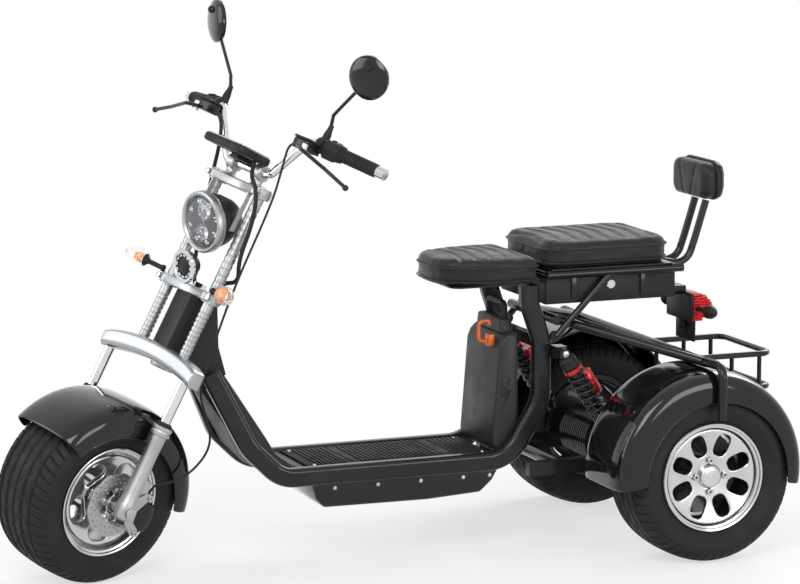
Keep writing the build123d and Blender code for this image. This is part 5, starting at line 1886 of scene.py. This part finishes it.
class DressStage(bpy.types.Operator):
    """Set the pale floor, the soft lights and the camera"""

    bl_idname = "scooter.dress_stage"
    bl_label = "Stage"

    def execute(self, context):
        scene = context.scene
        floor_mesh = bpy.data.meshes.new("floor")
        floor_mesh.from_pydata([(-14, -14, 0), (14, -14, 0), (14, 14, 0), (-14, 14, 0)], [], [(0, 1, 2, 3)])
        floor = shown("floor", floor_mesh)
        floor_mesh.materials.append(self.pale_floor())
        self.lamps(scene)
        self.world(scene)
        self.camera(scene)
        scene.view_settings.view_transform = "Standard"
        return {"FINISHED"}

    def seen_directly(self, tree):
        """A socket that is 1 where the camera, a reflection or a clear cover shows the stage."""
        path = tree.nodes.new("ShaderNodeLightPath")
        total = path.outputs["Is Camera Ray"]
        for label in ("Is Glossy Ray", "Is Transmission Ray"):
            more = tree.nodes.new("ShaderNodeMath")
            more.operation = "MAXIMUM"
            tree.links.new(total, more.inputs[0])
            tree.links.new(path.outputs[label], more.inputs[1])
            total = more.outputs["Value"]
        return total

    def pale_floor(self):
        """White that keeps the shadow near the scooter and fades to plain white farther out."""
        made = bpy.data.materials.new("pale_floor")
        made.use_nodes = True
        tree = made.node_tree
        nodes, link = tree.nodes, tree.links.new
        shader, out = nodes["Principled BSDF"], nodes["Material Output"]
        shader.inputs["Base Color"].default_value = (0.93, 0.93, 0.93, 1)
        shader.inputs["Roughness"].default_value = 0.8
        shader.inputs["Specular IOR Level"].default_value = 0.2
        white = nodes.new("ShaderNodeEmission")
        white.inputs["Strength"].default_value = 1.0
        place = nodes.new("ShaderNodeTexCoord")
        reach, fade = nodes.new("ShaderNodeVectorMath"), nodes.new("ShaderNodeMapRange")
        reach.operation = "LENGTH"
        link(place.outputs["Object"], reach.inputs[0])
        link(reach.outputs["Value"], fade.inputs["Value"])
        fade.interpolation_type = "SMOOTHSTEP"
        fade.inputs["From Min"].default_value = 0.7
        fade.inputs["From Max"].default_value = 1.9
        fade.inputs["To Min"].default_value = 0.62
        share = nodes.new("ShaderNodeMath")
        share.operation = "MULTIPLY"
        link(fade.outputs["Result"], share.inputs[0])
        link(self.seen_directly(tree), share.inputs[1])
        mix = nodes.new("ShaderNodeMixShader")
        link(share.outputs["Value"], mix.inputs["Fac"])
        link(shader.outputs["BSDF"], mix.inputs[1])
        link(white.outputs["Emission"], mix.inputs[2])
        link(mix.outputs["Shader"], out.inputs["Surface"])
        return made

    def lamps(self, scene):
        lights = (
            ("key", (2.2, 3.6, 3.6), 2.6, 150, (1.0, 0.98, 0.95)),
            ("fill", (4.2, -1.0, 2.4), 2.8, 70, (0.95, 0.97, 1.0)),
            ("back", (-3.6, -2.4, 3.2), 2.4, 110, (1.0, 1.0, 1.0)),
            ("side", (-2.0, 4.4, 1.4), 1.8, 55, (1.0, 1.0, 1.0)),
        )
        for name, place, size, power, colour in lights:
            lamp = bpy.data.lights.new(name, "AREA")
            lamp.size, lamp.energy, lamp.color = size, power, colour
            item = bpy.data.objects.new(name, lamp)
            item.location = place
            item.rotation_euler = (Vector((0, 0, 0.5)) - Vector(place)).to_track_quat("-Z", "Y").to_euler()
            scene.collection.objects.link(item)

    def world(self, scene):
        world = bpy.data.worlds.new("studio")
        scene.world = world
        world.use_nodes = True
        nodes, link = world.node_tree.nodes, world.node_tree.links.new
        soft = nodes["Background"]
        soft.inputs["Color"].default_value = (0.93, 0.95, 1.0, 1)
        soft.inputs["Strength"].default_value = 0.42
        seen = nodes.new("ShaderNodeBackground")
        seen.inputs["Color"].default_value = (1, 1, 1, 1)
        seen.inputs["Strength"].default_value = 1.0
        mix = nodes.new("ShaderNodeMixShader")
        link(self.seen_directly(world.node_tree), mix.inputs["Fac"])
        link(soft.outputs["Background"], mix.inputs[1])
        link(seen.outputs["Background"], mix.inputs[2])
        link(mix.outputs["Shader"], nodes["World Output"].inputs["Surface"])

    def camera(self, scene):
        turn, lift, reach = radians(158.25), radians(9.12), 9.1726
        target = Vector((FRONT_AXLE_X * MM - 0.8664, 0, 0.6880))
        back = Vector((sin(turn) * cos(lift), -cos(turn) * cos(lift), sin(lift)))
        lens = bpy.data.cameras.new("photo_camera")
        lens.lens = 157.7
        lens.sensor_width = 36
        item = bpy.data.objects.new("photo_camera", lens)
        item.location = target + back * reach
        item.rotation_euler = (-back).to_track_quat("-Z", "Y").to_euler()
        scene.collection.objects.link(item)
        scene.camera = item


# Panel and registration


class ScooterColours(bpy.types.PropertyGroup):
    """Colours that a user would change"""

    paint: bpy.props.FloatVectorProperty(
        name="Fender paint", description="Gloss coat of the fenders and belly", subtype="COLOR",
        size=3, min=0, max=1, default=(0.003, 0.003, 0.0035),
    )
    casting: bpy.props.FloatVectorProperty(
        name="Castings", description="Satin silver of the fork and its clamps", subtype="COLOR",
        size=3, min=0, max=1, default=(0.40, 0.41, 0.42),
    )
    seat: bpy.props.FloatVectorProperty(
        name="Seat cover", description="Leatherette of the seats and backrest", subtype="COLOR",
        size=3, min=0, max=1, default=(0.010, 0.010, 0.011),
    )
    signal: bpy.props.FloatVectorProperty(
        name="Red accents", description="Anodised rings and reservoirs of the shocks", subtype="COLOR",
        size=3, min=0, max=1, default=(0.55, 0.02, 0.02),
    )


class ScooterSizes(bpy.types.PropertyGroup):
    """Counts and sizes that a user would change"""

    tread_blocks: bpy.props.IntProperty(
        name="Tread blocks", description="Shoulder cuts round each tyre", default=54, min=20, max=90
    )
    groove_depth: bpy.props.FloatProperty(
        name="Groove depth", description="Depth of the tread", unit="LENGTH", default=0.006, min=0.0, max=0.012
    )
    front_spokes: bpy.props.IntProperty(
        name="Front spokes", description="Spokes of the front rim", default=5, min=3, max=12,
    )
    rear_spokes: bpy.props.IntProperty(
        name="Rear spokes", description="Spokes of each rear rim", default=8, min=3, max=12,
    )
    spring_turns: bpy.props.FloatProperty(
        name="Spring turns", description="Windings of each shock absorber's spring", default=8.5, min=3, max=16
    )
    channel_step: bpy.props.FloatProperty(
        name="Channel step", description="Distance between the sewn channels of the seats",
        unit="LENGTH", default=0.040, min=0.02, max=0.09
    )


# Cord, its diameter and length in metres, and the fork's own places that it passes in millimetres
CORDS = (
    (
        "brake_hose", 0.006, 1.075,
        (
            (62, 175.7, 1018), (62, 142, 1018), (46, 142, 950), (26, 142, 860), (20, 142, 620), (0, 150, 430),
            (-16, 152, 344), (-71, 152, 301), (-136, 152, 236), (-112, 150, 150), (-66, 140, 104), (-31, 128, 90),
            (-30, 128, 52),
        ),
    ),
    (
        "left_loom", 0.011, 0.417,
        (
            (70, 64, 940.7), (70, 66, 904), (68, 120, 868), (36, 120, 790), (26, 120, 690), (-26, 100, 640),
            (-16, 50, 622), (-16, 50, 590),
        ),
    ),
    (
        "right_loom", 0.010, 0.514,
        (
            (62, -175.7, 1018), (62, -140, 1016), (44, -122, 960), (20, -118, 860), (-6, -112, 760),
            (-24, -96, 660), (-34, -70, 600), (-40, -40, 560),
        ),
    ),
)

OPERATORS = (
    DressStage, DressTyres, DressWheels, DressFork, DressCockpit, DressLamps, DressFenders,
    DressBody, DressSeats, DressStorage, DressRunningGear, DressCords, DressTrim,
)


class ScooterPanel(bpy.types.Panel):
    """Buttons and settings in the sidebar"""

    bl_idname = "VIEW3D_PT_scooter"
    bl_label = "Scooter"
    bl_space_type = "VIEW_3D"
    bl_region_type = "UI"
    bl_category = "Scooter"

    def draw(self, context):
        scene = context.scene
        for group in (scene.scooter_colours, scene.scooter_sizes):
            for name in group.bl_rna.properties.keys():
                if name not in ("rna_type", "name"):
                    self.layout.prop(group, name)
        for operator in OPERATORS:
            self.layout.operator(operator.bl_idname)


CLASSES = (ScooterColours, ScooterSizes, *OPERATORS, ScooterPanel)


def register():
    for item in CLASSES:
        bpy.utils.register_class(item)
    bpy.types.Scene.scooter_colours = bpy.props.PointerProperty(type=ScooterColours)
    bpy.types.Scene.scooter_sizes = bpy.props.PointerProperty(type=ScooterSizes)


def unregister():
    del bpy.types.Scene.scooter_sizes
    del bpy.types.Scene.scooter_colours
    for item in reversed(CLASSES):
        bpy.utils.unregister_class(item)


def main():
    """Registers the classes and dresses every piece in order."""
    register()
    make_finishes(bpy.context.scene.scooter_colours)
    TREES.update(repeat=repeat_tree(), coil=coil_tree())
    for operator in OPERATORS:
        group, name = operator.bl_idname.split(".")
        getattr(getattr(bpy.ops, group), name)()


if __name__ == "__main__":
    main()
